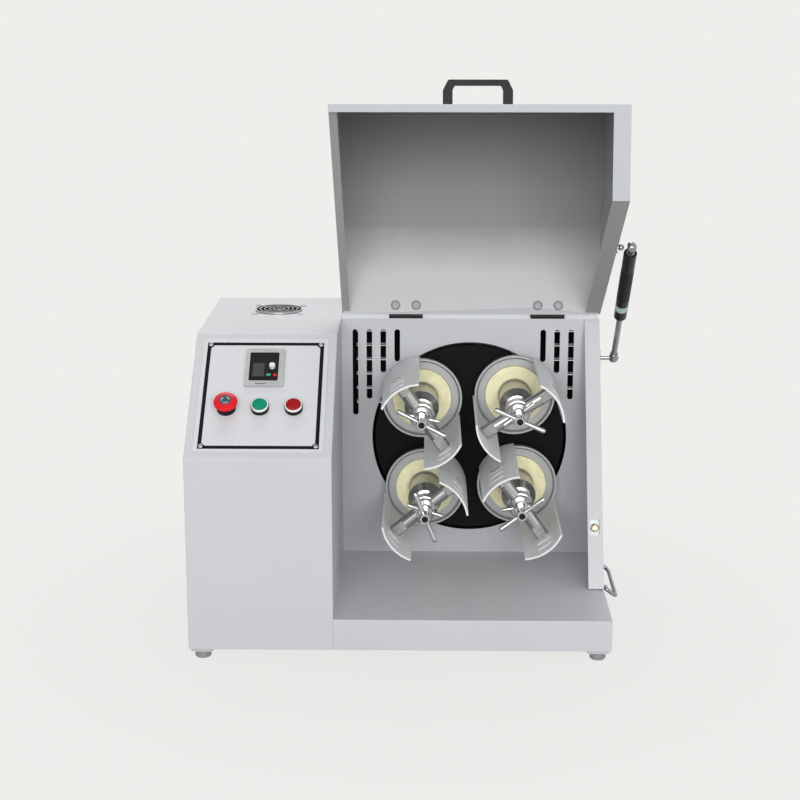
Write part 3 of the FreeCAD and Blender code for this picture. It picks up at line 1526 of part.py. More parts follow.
def main():
    os.makedirs("parts", exist_ok=True)
    nodes = build()
    origin = origin_of(nodes)
    for name, solids in nodes.items():
        moved = [solid.translated(-origin) for solid in solids]
        shape = moved[0] if len(moved) == 1 else Part.makeCompound(moved)
        shape.exportStep("parts/" + name + ".step")
    print("nodes", len(nodes), "origin", origin)


main()
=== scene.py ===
# %% [markdown]
# # A planetary ball mill, dressed for its picture
#
# The construction of this mill is finished before this script starts: every sheet, shaft and
# screw already has its place. Here each surface gets its finish, the printed and polished
# details are added, and a plain studio is built round the machine.

import math

import bmesh
import bpy
from mathutils import Matrix, Vector


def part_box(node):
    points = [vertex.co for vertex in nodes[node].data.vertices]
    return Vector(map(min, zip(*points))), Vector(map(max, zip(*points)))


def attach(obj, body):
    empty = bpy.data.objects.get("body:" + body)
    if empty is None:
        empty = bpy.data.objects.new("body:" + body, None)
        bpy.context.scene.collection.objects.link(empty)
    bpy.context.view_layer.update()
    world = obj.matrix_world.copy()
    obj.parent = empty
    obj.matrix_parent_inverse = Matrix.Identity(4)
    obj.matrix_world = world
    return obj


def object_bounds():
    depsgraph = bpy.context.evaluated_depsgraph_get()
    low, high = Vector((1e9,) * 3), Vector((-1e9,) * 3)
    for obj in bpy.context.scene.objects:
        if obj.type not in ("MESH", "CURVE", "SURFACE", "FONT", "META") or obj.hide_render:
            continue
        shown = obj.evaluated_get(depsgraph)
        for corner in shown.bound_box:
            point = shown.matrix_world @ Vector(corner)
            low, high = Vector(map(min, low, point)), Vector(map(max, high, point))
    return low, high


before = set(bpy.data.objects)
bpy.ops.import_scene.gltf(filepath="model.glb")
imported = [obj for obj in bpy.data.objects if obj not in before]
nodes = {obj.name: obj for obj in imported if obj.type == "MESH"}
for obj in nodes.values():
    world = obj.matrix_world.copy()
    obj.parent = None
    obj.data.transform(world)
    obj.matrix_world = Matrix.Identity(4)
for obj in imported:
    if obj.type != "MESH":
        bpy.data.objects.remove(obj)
cad_low, cad_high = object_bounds()

# %% [markdown]
# ## One ruler for the whole script
#
# Every size below is in millimetres from the left front corner of the sheet metal body's
# underside, the way a bench drawing would give it. The corner itself is read from two pieces
# of the construction, so nothing has to be fitted by eye.

# %% The body's corner, and places measured from it
mm = 0.001
corner = Vector((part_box("rear_panel")[0].x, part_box("base_pan")[0].y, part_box("rear_panel")[0].z))


def at(x, y, z):
    """A place in the row frame from millimetres off the body's corner."""
    return corner + Vector((x, y, z)) * mm


def spot(point):
    """The same the other way round: millimetres off the body's corner."""
    return (Vector(point) - corner) / mm


def spot_z(z):
    """The height in the row frame of a height in body millimetres."""
    return at(0, 0, z).z


print("body corner:", [round(v, 4) for v in corner])

# %% Planes of the body and the lid
wall_sheet = 1.5
body_top = 490.0
body_back = 550.0
chamber_depth = 354.0
behind_wall = 362.0
cover_low = 400.0
wall_inside = 698.4
lid_left_inside = 243.6
lid_inner_low = 400.0
lid_inner_y = (0.5, 345.0)
lid_front_inside = 2.0
print("chamber:", chamber_depth, "deep, body top at", body_top)

# %% [markdown]
# ## The console's own plane
#
# The push buttons and the printed border lie on a sloping face. Working in the slope's own
# coordinates (x to the right, u up the slope, h off its surface) keeps those details flat and
# simple. A matrix carries them on to the slope at the end.

# %% Slope coordinates
front_height = 327.0
slope_run = 214.0
slope_rise = 163.0
slope_angle = math.atan2(slope_rise, slope_run)
panel_thickness = 2.0
to_slope = (Matrix.Translation(at(0, 0, front_height)) @ Matrix.Rotation(slope_angle, 4, "X")
            @ Matrix.Scale(mm, 4))
from_slope = to_slope.inverted()
print("slope:", round(math.degrees(slope_angle), 2), "degrees")

# %% [markdown]
# ## The lid's hinge and the gas strut
#
# The lid is shown open. To say "this face belongs to a bolt" it is easier to swing a point
# back to the closed lid first. The strut runs between two balls: one is fixed to the wall, and
# the other swings with the lid.

# %% Hinge, strut and mill axis
hinge_y = 354.0
hinge_z = 494.0
lid_open = math.radians(96.6)
lid_axis = Vector((0, hinge_y, hinge_z))
lid_turn = Matrix.Rotation(lid_open, 3, "X")
mill_x = 470.0
mill_z = 271.3
orbit = 117.0
first_station = math.radians(47.2)
stations = ("top_right", "top_left", "lower_left", "lower_right")


def lid_closed(point):
    """A point of the open lid, in body millimetres, as if the lid were shut."""
    return lid_turn @ (spot(point) - lid_axis) + lid_axis


def station_axis(index):
    """Where a station's axis meets the turntable, in body millimetres."""
    angle = first_station + index * math.pi / 2
    return mill_x + orbit * math.cos(angle), mill_z + orbit * math.sin(angle)


strut_x = 727.0
strut_foot = at(strut_x, 356.0, 419.0)
closed_y, closed_z = 222.0, 260.0
closed_head = Vector((strut_x, closed_y - hinge_y, closed_z - hinge_z))
opened_head = Matrix.Rotation(-lid_open, 3, "X") @ closed_head
strut_head = at(strut_x, hinge_y + opened_head.y, hinge_z + opened_head.z)
strut_way = (strut_head - strut_foot).normalized()
print("strut length:", round((strut_head - strut_foot).length, 4))

# %% [markdown]
# ## Shared surface effects
#
# A powder coat, a brushed sheet and a turned face differ in colour, but their texture is made
# in the same few ways. Each effect is a node group that is built once. Most give a colour, a
# roughness and a height, and the shader itself stays in each material.

# %% A helper that wires node groups
def add(tree, kind, inputs=None, **settings):
    """A new node, with its settings made and its inputs linked or set."""
    node = tree.nodes.new(kind)
    for key, value in settings.items():
        setattr(node, key, value)
    for key, value in (inputs or {}).items():
        socket = node.inputs[key]
        if isinstance(value, bpy.types.NodeSocket):
            tree.links.new(value, socket)
        else:
            socket.default_value = value
    return node


def effect(name, sockets, results):
    """An empty node group with its inputs and outputs named."""
    group = bpy.data.node_groups.new(name, "ShaderNodeTree")
    kinds = {float: "NodeSocketFloat", "colour": "NodeSocketColor", "vector": "NodeSocketVector"}
    for label, kind in sockets:
        group.interface.new_socket(label, in_out="INPUT", socket_type=kinds[kind])
    for label, kind in results:
        group.interface.new_socket(label, in_out="OUTPUT", socket_type=kinds[kind])
    return group, group.nodes.new("NodeGroupInput"), group.nodes.new("NodeGroupOutput")


def result(group, out, **sockets):
    """Links the last sockets of an effect to its outputs."""
    for label, socket in sockets.items():
        group.links.new(socket, out.inputs[label])


SURFACE = [("Color", "colour"), ("Roughness", float), ("Height", float)]

# %% [markdown]
# Powder coat is sprayed dry and baked, so it flows into a very fine orange peel, and its tone
# drifts softly over a big sheet. Two noises do that: a fine one for the peel and a wide one
# for the drift.

# %% Effect: powder coat
coat, given, out = effect("Powder coat", [("Vector", "vector"), ("Base", "colour"),
                                          ("Drift", float), ("Gloss", float), ("Grain", float)], SURFACE)
wide = add(coat, "ShaderNodeTexNoise", {"Vector": given.outputs["Vector"], "Scale": 5.0, "Detail": 3.0})
fine = add(coat, "ShaderNodeTexNoise", {"Vector": given.outputs["Vector"], "Scale": given.outputs["Grain"],
                                        "Detail": 2.0})
swing = add(coat, "ShaderNodeMath", {0: wide.outputs["Fac"], 1: 0.5}, operation="SUBTRACT")
swing = add(coat, "ShaderNodeMath", {0: swing.outputs[0], 1: given.outputs["Drift"], 2: 1.0},
            operation="MULTIPLY_ADD")
tone = add(coat, "ShaderNodeVectorMath", {0: given.outputs["Base"], "Scale": swing.outputs[0]},
           operation="SCALE")
speck = add(coat, "ShaderNodeMapRange", {"Value": fine.outputs["Fac"], "From Min": 0.3, "From Max": 0.7,
                                         "To Min": 0.97, "To Max": 1.02})
tone = add(coat, "ShaderNodeVectorMath", {0: tone.outputs[0], "Scale": speck.outputs[0]}, operation="SCALE")
rough = add(coat, "ShaderNodeMath", {0: wide.outputs["Fac"], 1: 0.12, 2: given.outputs["Gloss"]},
            operation="MULTIPLY_ADD")
result(coat, out, Color=tone.outputs[0], Roughness=rough.outputs[0], Height=fine.outputs["Fac"])

# %% [markdown]
# Deep inside the lid and low on the chamber's back wall, shade is painted into the colour where
# less light reaches. A second group, the painted shade, darkens any colour between two heights.

# %% Effect: painted shade between two heights
painted_shade_group, given, out = effect("Painted shade", [("Vector", "vector"), ("Color", "colour"), ("Low", float),
                                        ("High", float), ("At low", float), ("At high", float)],
                          [("Color", "colour")])
parts = add(painted_shade_group, "ShaderNodeSeparateXYZ", {0: given.outputs["Vector"]})
cloud = add(painted_shade_group, "ShaderNodeTexNoise", {"Vector": given.outputs["Vector"], "Scale": 7.0, "Detail": 2.0})
uneven = add(painted_shade_group, "ShaderNodeMath", {0: cloud.outputs["Fac"], 1: 0.05, 2: parts.outputs["Z"]},
             operation="MULTIPLY_ADD")
amount = add(painted_shade_group, "ShaderNodeMapRange", {"Value": uneven.outputs[0], "From Min": given.outputs["Low"],
                                          "From Max": given.outputs["High"],
                                          "To Min": given.outputs["At low"],
                                          "To Max": given.outputs["At high"]})
tone = add(painted_shade_group, "ShaderNodeVectorMath", {0: given.outputs["Color"], "Scale": amount.outputs[0]},
           operation="SCALE")
result(painted_shade_group, out, Color=tone.outputs[0])

# %% [markdown]
# Rolled stainless sheet has long scratches one way. Noise that is squeezed along two axes and
# left long on the third looks like that, and also varies the roughness.

# %% Effect: brushed sheet
brush, given, out = effect("Brushed sheet", [("Vector", "vector"), ("Base", "colour"),
                                             ("Stretch", "vector"), ("Gloss", float)], SURFACE)
drawn = add(brush, "ShaderNodeVectorMath", {0: given.outputs["Vector"], 1: given.outputs["Stretch"]},
            operation="MULTIPLY")
lines = add(brush, "ShaderNodeTexNoise", {"Vector": drawn.outputs[0], "Scale": 1.0, "Detail": 4.0,
                                          "Roughness": 0.65})
patch = add(brush, "ShaderNodeTexNoise", {"Vector": given.outputs["Vector"], "Scale": 30.0, "Detail": 2.0})
shade = add(brush, "ShaderNodeMapRange", {"Value": lines.outputs["Fac"], "From Min": 0.25, "From Max": 0.75,
                                          "To Min": 0.86, "To Max": 1.1})
tone = add(brush, "ShaderNodeVectorMath", {0: given.outputs["Base"], "Scale": shade.outputs[0]},
           operation="SCALE")
mixed = add(brush, "ShaderNodeMath", {0: lines.outputs["Fac"], 1: patch.outputs["Fac"]}, operation="ADD")
rough = add(brush, "ShaderNodeMath", {0: mixed.outputs[0], 1: 0.14, 2: given.outputs["Gloss"]},
            operation="MULTIPLY_ADD")
result(brush, out, Color=tone.outputs[0], Roughness=rough.outputs[0], Height=lines.outputs["Fac"])

# %% [markdown]
# A part from the lathe shows fine rings about its own axis. The distance from that axis drives
# the noise, so the rings stay round on the face and run as straight bands along a side.

# %% Effect: turned metal
lathe, given, out = effect("Turned metal", [("Vector", "vector"), ("Base", "colour"), ("Rings", float),
                                            ("Gloss", float)], SURFACE)
parts = add(lathe, "ShaderNodeSeparateXYZ", {0: given.outputs["Vector"]})
flat = add(lathe, "ShaderNodeCombineXYZ", {"X": parts.outputs["X"], "Y": parts.outputs["Z"]})
reach = add(lathe, "ShaderNodeVectorMath", {0: flat.outputs[0]}, operation="LENGTH")
across = add(lathe, "ShaderNodeCombineXYZ", {"X": reach.outputs["Value"], "Y": parts.outputs["Y"]})
rings = add(lathe, "ShaderNodeTexNoise", {"Vector": across.outputs[0], "Scale": given.outputs["Rings"],
                                          "Detail": 3.0, "Roughness": 0.6})
smudge = add(lathe, "ShaderNodeTexNoise", {"Vector": given.outputs["Vector"], "Scale": 45.0, "Detail": 2.0})
shade = add(lathe, "ShaderNodeMapRange", {"Value": rings.outputs["Fac"], "From Min": 0.25, "From Max": 0.75,
                                          "To Min": 0.88, "To Max": 1.08})
tone = add(lathe, "ShaderNodeVectorMath", {0: given.outputs["Base"], "Scale": shade.outputs[0]},
           operation="SCALE")
mixed = add(lathe, "ShaderNodeMath", {0: rings.outputs["Fac"], 1: smudge.outputs["Fac"]}, operation="ADD")
rough = add(lathe, "ShaderNodeMath", {0: mixed.outputs[0], 1: 0.1, 2: given.outputs["Gloss"]},
            operation="MULTIPLY_ADD")
result(lathe, out, Color=tone.outputs[0], Roughness=rough.outputs[0], Height=rings.outputs["Fac"])

# %% [markdown]
# Moulded plastic comes out of a spark-eroded mould with a soft, even stipple.

# %% Effect: moulded plastic
mould, given, out = effect("Moulded plastic", [("Vector", "vector"), ("Base", "colour"),
                                               ("Stipple", float), ("Gloss", float)], SURFACE)
cells = add(mould, "ShaderNodeTexVoronoi", {"Vector": given.outputs["Vector"],
                                            "Scale": given.outputs["Stipple"]})
cloud = add(mould, "ShaderNodeTexNoise", {"Vector": given.outputs["Vector"], "Scale": 60.0, "Detail": 2.0})
shade = add(mould, "ShaderNodeMapRange", {"Value": cloud.outputs["Fac"], "From Min": 0.3, "From Max": 0.7,
                                          "To Min": 0.92, "To Max": 1.06})
tone = add(mould, "ShaderNodeVectorMath", {0: given.outputs["Base"], "Scale": shade.outputs[0]},
           operation="SCALE")
rough = add(mould, "ShaderNodeMath", {0: cloud.outputs["Fac"], 1: 0.12, 2: given.outputs["Gloss"]},
            operation="MULTIPLY_ADD")
result(mould, out, Color=tone.outputs[0], Roughness=rough.outputs[0], Height=cells.outputs["Distance"])
print("shared effects:", [g.name for g in bpy.data.node_groups])


# %% [markdown]
# ## Materials
#
# Each finish is one material: an effect group, a bump from its height, and the Principled
# shader. Numbers that are the same all over a surface are set on the shader itself. Paint from
# the same gun and print from the same screen share their relief, so two short makers set that.

# %% One maker for all finishes
def finish(name, group, base, bump, depth, centre=None, metallic=0.0, level=0.5, fade=None, **values):
    """A material from an effect. The fade paints shade: it darkens the colour between two heights, given as
    (low, high, share at low, share at high).
    """
    material = bpy.data.materials.new(name)
    material.use_nodes = True
    tree = material.node_tree
    shader = tree.nodes["Principled BSDF"]
    vector = add(tree, "ShaderNodeTexCoord").outputs["Object"]
    if centre is not None:
        vector = add(tree, "ShaderNodeMapping", {"Vector": vector, "Location": -centre}).outputs[0]
    node = add(tree, "ShaderNodeGroup", node_tree=group)
    tree.links.new(vector, node.inputs["Vector"])
    node.inputs["Base"].default_value = (*base, 1.0)
    for label, value in values.items():
        node.inputs[label].default_value = value
    relief = add(tree, "ShaderNodeBump", {"Height": node.outputs["Height"], "Strength": bump,
                                          "Distance": depth * mm})
    colour = node.outputs["Color"]
    if fade is not None:
        faded = add(tree, "ShaderNodeGroup", node_tree=painted_shade_group)
        tree.links.new(vector, faded.inputs["Vector"])
        tree.links.new(colour, faded.inputs["Color"])
        for label, value in zip(("Low", "High", "At low", "At high"), fade):
            faded.inputs[label].default_value = value
        colour = faded.outputs["Color"]
    tree.links.new(colour, shader.inputs["Base Color"])
    tree.links.new(node.outputs["Roughness"], shader.inputs["Roughness"])
    tree.links.new(relief.outputs["Normal"], shader.inputs["Normal"])
    shader.inputs["Metallic"].default_value = metallic
    shader.inputs["Specular IOR Level"].default_value = level
    return material


def sprayed(name, base, **values):
    """Fine powder coat, as all the sheets of the body have."""
    return finish(name, coat, base, 0.12, 0.06, Grain=900.0, **values)


def printed(name, base, grain=1500.0, **values):
    """Ink or film, nearly flat."""
    return finish(name, coat, base, 0.05, 0.02, Grain=grain, **values)


# %% [markdown]
# The body is one light silver grey. The lid's inner faces and rims and the chamber's back wall
# carry the same paint with painted shade, darker where less light reaches. The console film is a
# touch paler and smoother, because it is printed on the back of a clear sheet.

# %% Painted and printed surfaces
silver = (0.60, 0.612, 0.632)
body_paint = sprayed("light grey powder coat", silver, Drift=0.10, Gloss=0.40, level=0.35)
fold_z = spot_z(655.0)
lid_roof_z = spot_z(856.0)
lid_floor_z = spot_z(500.0)
shade_low, shade_high = spot_z(330.0), spot_z(470.0)
# Painted shade: the lid's inner faces darken above the fold and towards the roof, and the far corner is
# darker still.
lid_inner = sprayed("inside of the lid", (0.60, 0.608, 0.62), Drift=0.10, Gloss=0.45, level=0.25,
                    fade=(fold_z - 0.06, fold_z + 0.02, 0.98, 0.53))
lid_wall = sprayed("inner side of the lid", (0.60, 0.604, 0.61), Drift=0.10, Gloss=0.45, level=0.25,
                   fade=(lid_floor_z, lid_roof_z, 0.95, 0.62))
lid_corner = sprayed("far inside of the lid", (0.60, 0.598, 0.592), Drift=0.10, Gloss=0.5, level=0.2,
                     fade=(fold_z - 0.01, lid_roof_z, 0.57, 0.37))
# Painted shade: the lid's front-facing rim is a darker copy of the body paint.
lid_rim = sprayed("rim of the lid in painted shade", (0.49, 0.506, 0.524), Drift=0.12, Gloss=0.42, level=0.3)
# Painted shade: the slanted lower rim, which faces down and forward, is darker still.
rim_shade = sprayed("lower rim in painted shade", (0.37, 0.366, 0.355), Drift=0.15, Gloss=0.5, level=0.2)
# Painted shade: the back wall's paint darkens towards its bottom.
back_wall = sprayed("back wall of the chamber", (0.59, 0.602, 0.626), Drift=0.12, Gloss=0.42, level=0.3,
                    fade=(shade_low, shade_high, 0.79, 0.97))
# Painted shade: faces hidden behind the back wall, under the cover and inside the rear panel are near
# black, so the slots look into the dark.
hidden_insides_shade = finish("painted shade of hidden insides", coat, (0.012, 0.012, 0.013), 0.3, 0.1, Drift=0.3, Gloss=0.6,
                     Grain=700.0, level=0.15)
console_film = printed("pale console film", (0.67, 0.682, 0.704), Drift=0.05, Gloss=0.34, level=0.3)
print_black = printed("printed black", (0.004, 0.004, 0.0045), Drift=0.1, Gloss=0.45, level=0.1)
film_green = printed("pale green label", (0.42, 0.58, 0.50), grain=900.0, Drift=0.1, Gloss=0.35)
mark_blue = printed("dark blue print", (0.02, 0.055, 0.085), Drift=0.1, Gloss=0.3)
mark_pale = printed("pale print", (0.30, 0.36, 0.38), Drift=0.1, Gloss=0.4)

# %% Black, grey and cast surfaces
disc_black = finish("satin black plate", coat, (0.0052, 0.0056, 0.007), 0.2, 0.05, Drift=0.25,
                    Gloss=0.42, Grain=700.0, level=0.08)
black_steel = finish("black painted steel", coat, (0.008, 0.008, 0.009), 0.2, 0.05, Drift=0.2,
                     Gloss=0.38, Grain=800.0, level=0.2)
tube_black = finish("gloss black tube", coat, (0.006, 0.006, 0.007), 0.1, 0.03, Drift=0.2,
                    Gloss=0.18, Grain=900.0, level=0.3)
motor_paint = finish("grey machine enamel", coat, (0.10, 0.13, 0.15), 0.3, 0.1, Drift=0.2,
                     Gloss=0.30, Grain=500.0)
cast_grey = finish("dark casting", coat, (0.055, 0.058, 0.06), 0.6, 0.2, Drift=0.4, Gloss=0.5, Grain=350.0)
print("painted and printed:", len(bpy.data.materials))

# %% [markdown]
# Polished and machined steel live from what they reflect, so their colour stays neutral. The
# roughness and the fine lines tell them apart, and dull zinc is only partly metallic.

# %% Metals
zinc = finish("zinc plate", brush, (0.42, 0.425, 0.44), 0.15, 0.05, metallic=0.85,
              Stretch=(120.0, 120.0, 120.0), Gloss=0.30)
pad_zinc = finish("zinc foot pad", brush, (0.30, 0.30, 0.31), 0.2, 0.05, metallic=0.4,
                  Stretch=(160.0, 160.0, 160.0), Gloss=0.35)
bolt_grey = finish("dull zinc bolt", brush, (0.36, 0.37, 0.38), 0.2, 0.05, metallic=0.15,
                   Stretch=(160.0, 160.0, 160.0), Gloss=0.42)
# Painted reflection: the strut studs, rod ends and bails use a darker copy of the chrome, standing in for
# dark surroundings that they would reflect.
chrome_dark_reflection = finish("chrome rod with painted dark reflection", brush, (0.30, 0.30, 0.305), 0.03, 0.02, metallic=1.0,
                     Stretch=(60.0, 60.0, 60.0), Gloss=0.03)
chrome = finish("bright chrome", brush, (0.62, 0.62, 0.63), 0.03, 0.02, metallic=1.0,
                Stretch=(60.0, 60.0, 60.0), Gloss=0.03)
bezel_silver = finish("silver bezel", brush, (0.88, 0.885, 0.89), 0.05, 0.02, metallic=0.0,
                      Stretch=(200.0, 200.0, 200.0), Gloss=0.22)
arm_sheet = finish("brushed stainless arm", brush, (0.84, 0.85, 0.865), 0.2, 0.04, metallic=0.12,
                   Stretch=(700.0, 14.0, 700.0), Gloss=0.34)
arm_edge = finish("cut edge of the arm", brush, (0.80, 0.805, 0.82), 0.1, 0.03, metallic=0.1,
                  Stretch=(300.0, 300.0, 300.0), Gloss=0.30)
rod_steel = finish("ground rod", brush, (0.30, 0.30, 0.31), 0.1, 0.03, metallic=1.0,
                   Stretch=(400.0, 60.0, 60.0), Gloss=0.12)
gear_steel = finish("cut gear steel", brush, (0.35, 0.35, 0.36), 0.2, 0.05, metallic=1.0,
                    Stretch=(150.0, 20.0, 150.0), Gloss=0.25)
brass = finish("brass dome", brush, (0.72, 0.60, 0.42), 0.05, 0.02, metallic=1.0,
               Stretch=(90.0, 90.0, 90.0), Gloss=0.08)

# %% Plastics
black_plastic = finish("black moulded plastic", mould, (0.008, 0.008, 0.009), 0.25, 0.05, Stipple=1400.0,
                       Gloss=0.42, level=0.2)
keypad_grey = finish("pale keypad frame", mould, (0.47, 0.47, 0.475), 0.1, 0.03, Stipple=1500.0, Gloss=0.45,
                     level=0.3)
keypad_black = finish("keypad face", mould, (0.006, 0.006, 0.007), 0.1, 0.02, Stipple=1800.0, Gloss=0.35,
                      level=0.15)
display_grey = finish("display film", mould, (0.045, 0.045, 0.048), 0.5, 0.3, Stipple=260.0, Gloss=0.18,
                      level=0.4)
knob_white = finish("white knob", mould, (0.78, 0.78, 0.76), 0.05, 0.02, Stipple=1500.0, Gloss=0.3)
key_green = finish("green key", mould, (0.05, 0.40, 0.20), 0.05, 0.02, Stipple=1500.0, Gloss=0.4,
                   level=0.2)
key_red = finish("red key", mould, (0.72, 0.02, 0.03), 0.05, 0.02, Stipple=1500.0, Gloss=0.4, level=0.2)
stop_red = finish("red button", mould, (0.72, 0.012, 0.022), 0.04, 0.02, Stipple=1200.0, Gloss=0.4,
                  level=0.2)
lens_red = finish("red lens", mould, (0.33, 0.004, 0.007), 0.03, 0.02, Stipple=700.0, Gloss=0.35,
                  level=0.15)
lens_green = finish("green lens", mould, (0.0, 0.25, 0.14), 0.03, 0.02, Stipple=700.0, Gloss=0.35,
                    level=0.15)
nylon = finish("cream nylon", mould, (0.97, 0.93, 0.60), 0.08, 0.04, Stipple=900.0, Gloss=0.45,
               level=0.3)
rubber = finish("black rubber", mould, (0.010, 0.010, 0.010), 0.4, 0.1, Stipple=600.0, Gloss=0.55)
print("materials so far:", len(bpy.data.materials))

# %% [markdown]
# The turned pieces need one material for each station, because the rings have to run about
# that station's own axis.

# %% Turned metals of each station
turned_steel = {}
turned_satin = {}
turned_alloy = {}
for index, place in enumerate(stations):
    axis_x, axis_z = station_axis(index)
    centre = at(axis_x, 0, axis_z)
    turned_steel[place] = finish("polished steel " + place, lathe, (0.55, 0.548, 0.54), 0.12, 0.03,
                                 centre=centre, metallic=1.0, Rings=900.0, Gloss=0.06)
    turned_satin[place] = finish("satin steel " + place, lathe, (0.40, 0.398, 0.395), 0.2, 0.04,
                                 centre=centre, metallic=0.92, Rings=700.0, Gloss=0.13)
    turned_alloy[place] = finish("turned alloy " + place, lathe, (0.42, 0.425, 0.43), 0.15, 0.03,
                                 centre=centre, metallic=0.6, Rings=1100.0, Gloss=0.32)
shaft_alloy = finish("turned drive steel", lathe, (0.45, 0.45, 0.46), 0.15, 0.04,
                     centre=at(mill_x, 0, mill_z), metallic=1.0, Rings=700.0, Gloss=0.25)


# %% [markdown]
# ## Dressing the construction
#
# A node can hold more than one finish: a foot is a painted plate over a zinc pad. Each layer
# below names a finish and a test of a face's place and way. The last layer that fits wins.

# %% Tests and the dressing itself
def dress(name, base, *layers):
    """Gives a node its base finish and each layer whose test a face passes."""
    mesh = nodes[name].data
    mesh.materials.clear()
    mesh.materials.append(base)
    for material, _ in layers:
        mesh.materials.append(material)
    for face in mesh.polygons:
        face.use_smooth = True
        face.material_index = 0
        for index, (_, test) in enumerate(layers):
            if test(face.center, face.normal):
                face.material_index = index + 1


def slope_spot(point):
    """A point as (x, u, h) on the console's slope, in millimetres."""
    return from_slope @ Vector(point)


def near(place, reach):
    """A test for faces within some millimetres of a place."""
    return lambda point, way: (Vector(point) - place).length < reach * mm


def inside(point, xs, us, heights):
    """Whether a point is within a box on the console's slope."""
    return all(low < value < high
               for value, (low, high) in zip(slope_spot(point), (xs, us, heights)))


def lid_shell_side(point, way):
    """Which inner face of the lid a face belongs to, as if the lid were shut."""
    place = lid_closed(point)
    facing = lid_turn @ Vector(way)
    if facing.z < -0.5 and place.z > lid_inner_low and lid_inner_y[0] < place.y < lid_inner_y[1]:
        return "top" if facing.z < -0.995 else "slope"
    if facing.y > 0.5 and place.y < lid_front_inside:
        return "front"
    if facing.x < -0.5 and place.x > wall_inside or facing.x > 0.5 and place.x < lid_left_inside:
        return "wall"
    return ""


# %% Sheets of the body, the lid and its hinges
above_body = body_top + 5
leaf_low = body_top - 0.2
leaf_high = body_top + 2.2
knuckle = 8.0
foot_plate_low = -10.5
dress("base_pan", body_paint)
dress("cabinet_shell", body_paint)
# Painted shade, near black, on the faces behind the back wall, under the cover and inside the rear panel.
dress("chamber_back_panel", back_wall, (hidden_insides_shade, lambda p, n: n.y > 0.9))
dress("chamber_shell", body_paint,
      (hidden_insides_shade, lambda p, n: n.x < -0.9 and spot(p).y > behind_wall
       or n.z < -0.9 and spot(p).z > cover_low))
dress("rear_panel", body_paint, (hidden_insides_shade, lambda p, n: n.y < -0.9 and spot(p).y > body_back))
# The lid's inner faces and rims take the copies of the paint with painted shade.
dress("lid_shell", body_paint, (lid_inner, lambda p, n: lid_shell_side(p, n) == "top"),
      (lid_wall, lambda p, n: lid_shell_side(p, n) == "wall"),
      (lid_corner, lambda p, n: lid_shell_side(p, n) in ("slope", "front")),
      (lid_rim, lambda p, n: n.y < -0.9 and spot(p).z > above_body and lid_shell_side(p, n) == ""),
      (rim_shade, lambda p, n: n.y < -0.3 and n.z < -0.15 and spot(p).z > above_body))
dress("feet", pad_zinc, (body_paint, lambda p, n: spot(p).z > foot_plate_low))
dress("cable_gland", black_plastic)
dress("lid_handle", black_plastic)
dress("hinge_fixed_leaves", black_steel)
dress("hinge_lid_leaves", black_steel,
      (bolt_grey, lambda p, n: not leaf_low < lid_closed(p).z < leaf_high
       and lid_closed(p).y < hinge_y - knuckle))

# %% Strut and handles
foot_socket = 16
head_socket = 15
dress("strut_lower_stud", chrome_dark_reflection)
dress("strut_upper_stud", chrome_dark_reflection)
dress("strut_rod", rod_steel, (chrome_dark_reflection, near(strut_foot, foot_socket)))
dress("strut_tube", tube_black, (chrome_dark_reflection, near(strut_head, head_socket)))
dress("right_bail", chrome_dark_reflection)
dress("left_bail", chrome_dark_reflection)

# %% Console, fan and lid switch
dress("console_panel", console_film)
dress("panel_screws", zinc)
window_x = (95.2, 144.2)
window_u = (160.0, 221.6)
window_h = (2.0, 6.0)
display_x = (101.2, 120.8)
display_u = (168.4, 197.6)
display_h = (5.6, 7.0)
dress("inverter_keypad", keypad_grey,
      (keypad_black, lambda p, n: inside(p, window_x, window_u, window_h)),
      (display_grey, lambda p, n: inside(p, display_x, display_u, display_h)))
dress("keypad_knob", knob_white)
dress("keypad_run_key", key_green)
dress("keypad_stop_key", key_red)
bezel_step = panel_thickness + 7.6
collar_right = 90.0
dress("button_bezels", bezel_silver,
      (black_plastic, lambda p, n: slope_spot(p).x < collar_right or slope_spot(p).z < bezel_step))
dress("emergency_button", stop_red)
dress("start_button", lens_green)
dress("stop_button", lens_red)
guard_low = body_top - 0.4
dress("cooling_fan", black_plastic, (chrome, lambda p, n: spot(p).z > guard_low))
dress("fan_rotor", black_plastic)
dress("switch_housing", zinc)
dress("switch_plunger", brass)

# %% Turntable, stations and drive
disc_back = chamber_depth + 8.2
planet_front = 449.0
sun_back = 463.5
rim_front = 322.0
arms_back = rim_front - 0.5
dress("turntable", shaft_alloy, (disc_black, lambda p, n: spot(p).y < disc_back))
dress("sun_gear_bracket", cast_grey, (gear_steel, lambda p, n: spot(p).y < sun_back))
dress("drive_motor", motor_paint)
dress("motor_pulley", cast_grey)
dress("drive_belt", rubber)
for place in stations:
    dress("jar_holder_" + place, turned_alloy[place],
          (arm_sheet, lambda p, n: spot(p).y < arms_back),
          (arm_edge, lambda p, n: spot(p).y < arms_back and n.y < -0.9),
          (gear_steel, lambda p, n: spot(p).y > planet_front))
    dress("grinding_jar_" + place, nylon)
    dress("crossbar_" + place, turned_satin[place])
    dress("pressure_cap_" + place, turned_satin[place])
    dress("clamp_screw_" + place, turned_steel[place])
    dress("lock_handle_" + place, turned_steel[place])
print("dressed:", sum(1 for n in nodes.values() if n.data.materials))


# %% [markdown]
# ## Printed and fitted details
#
# What follows is too thin or too small for the construction: the console's printed border, the
# mark on the emergency button, the strut's label, a folded edge behind one slot and the plugs
# in the clamp screws. Each is modelled with mesh operators and laid on its carrier.

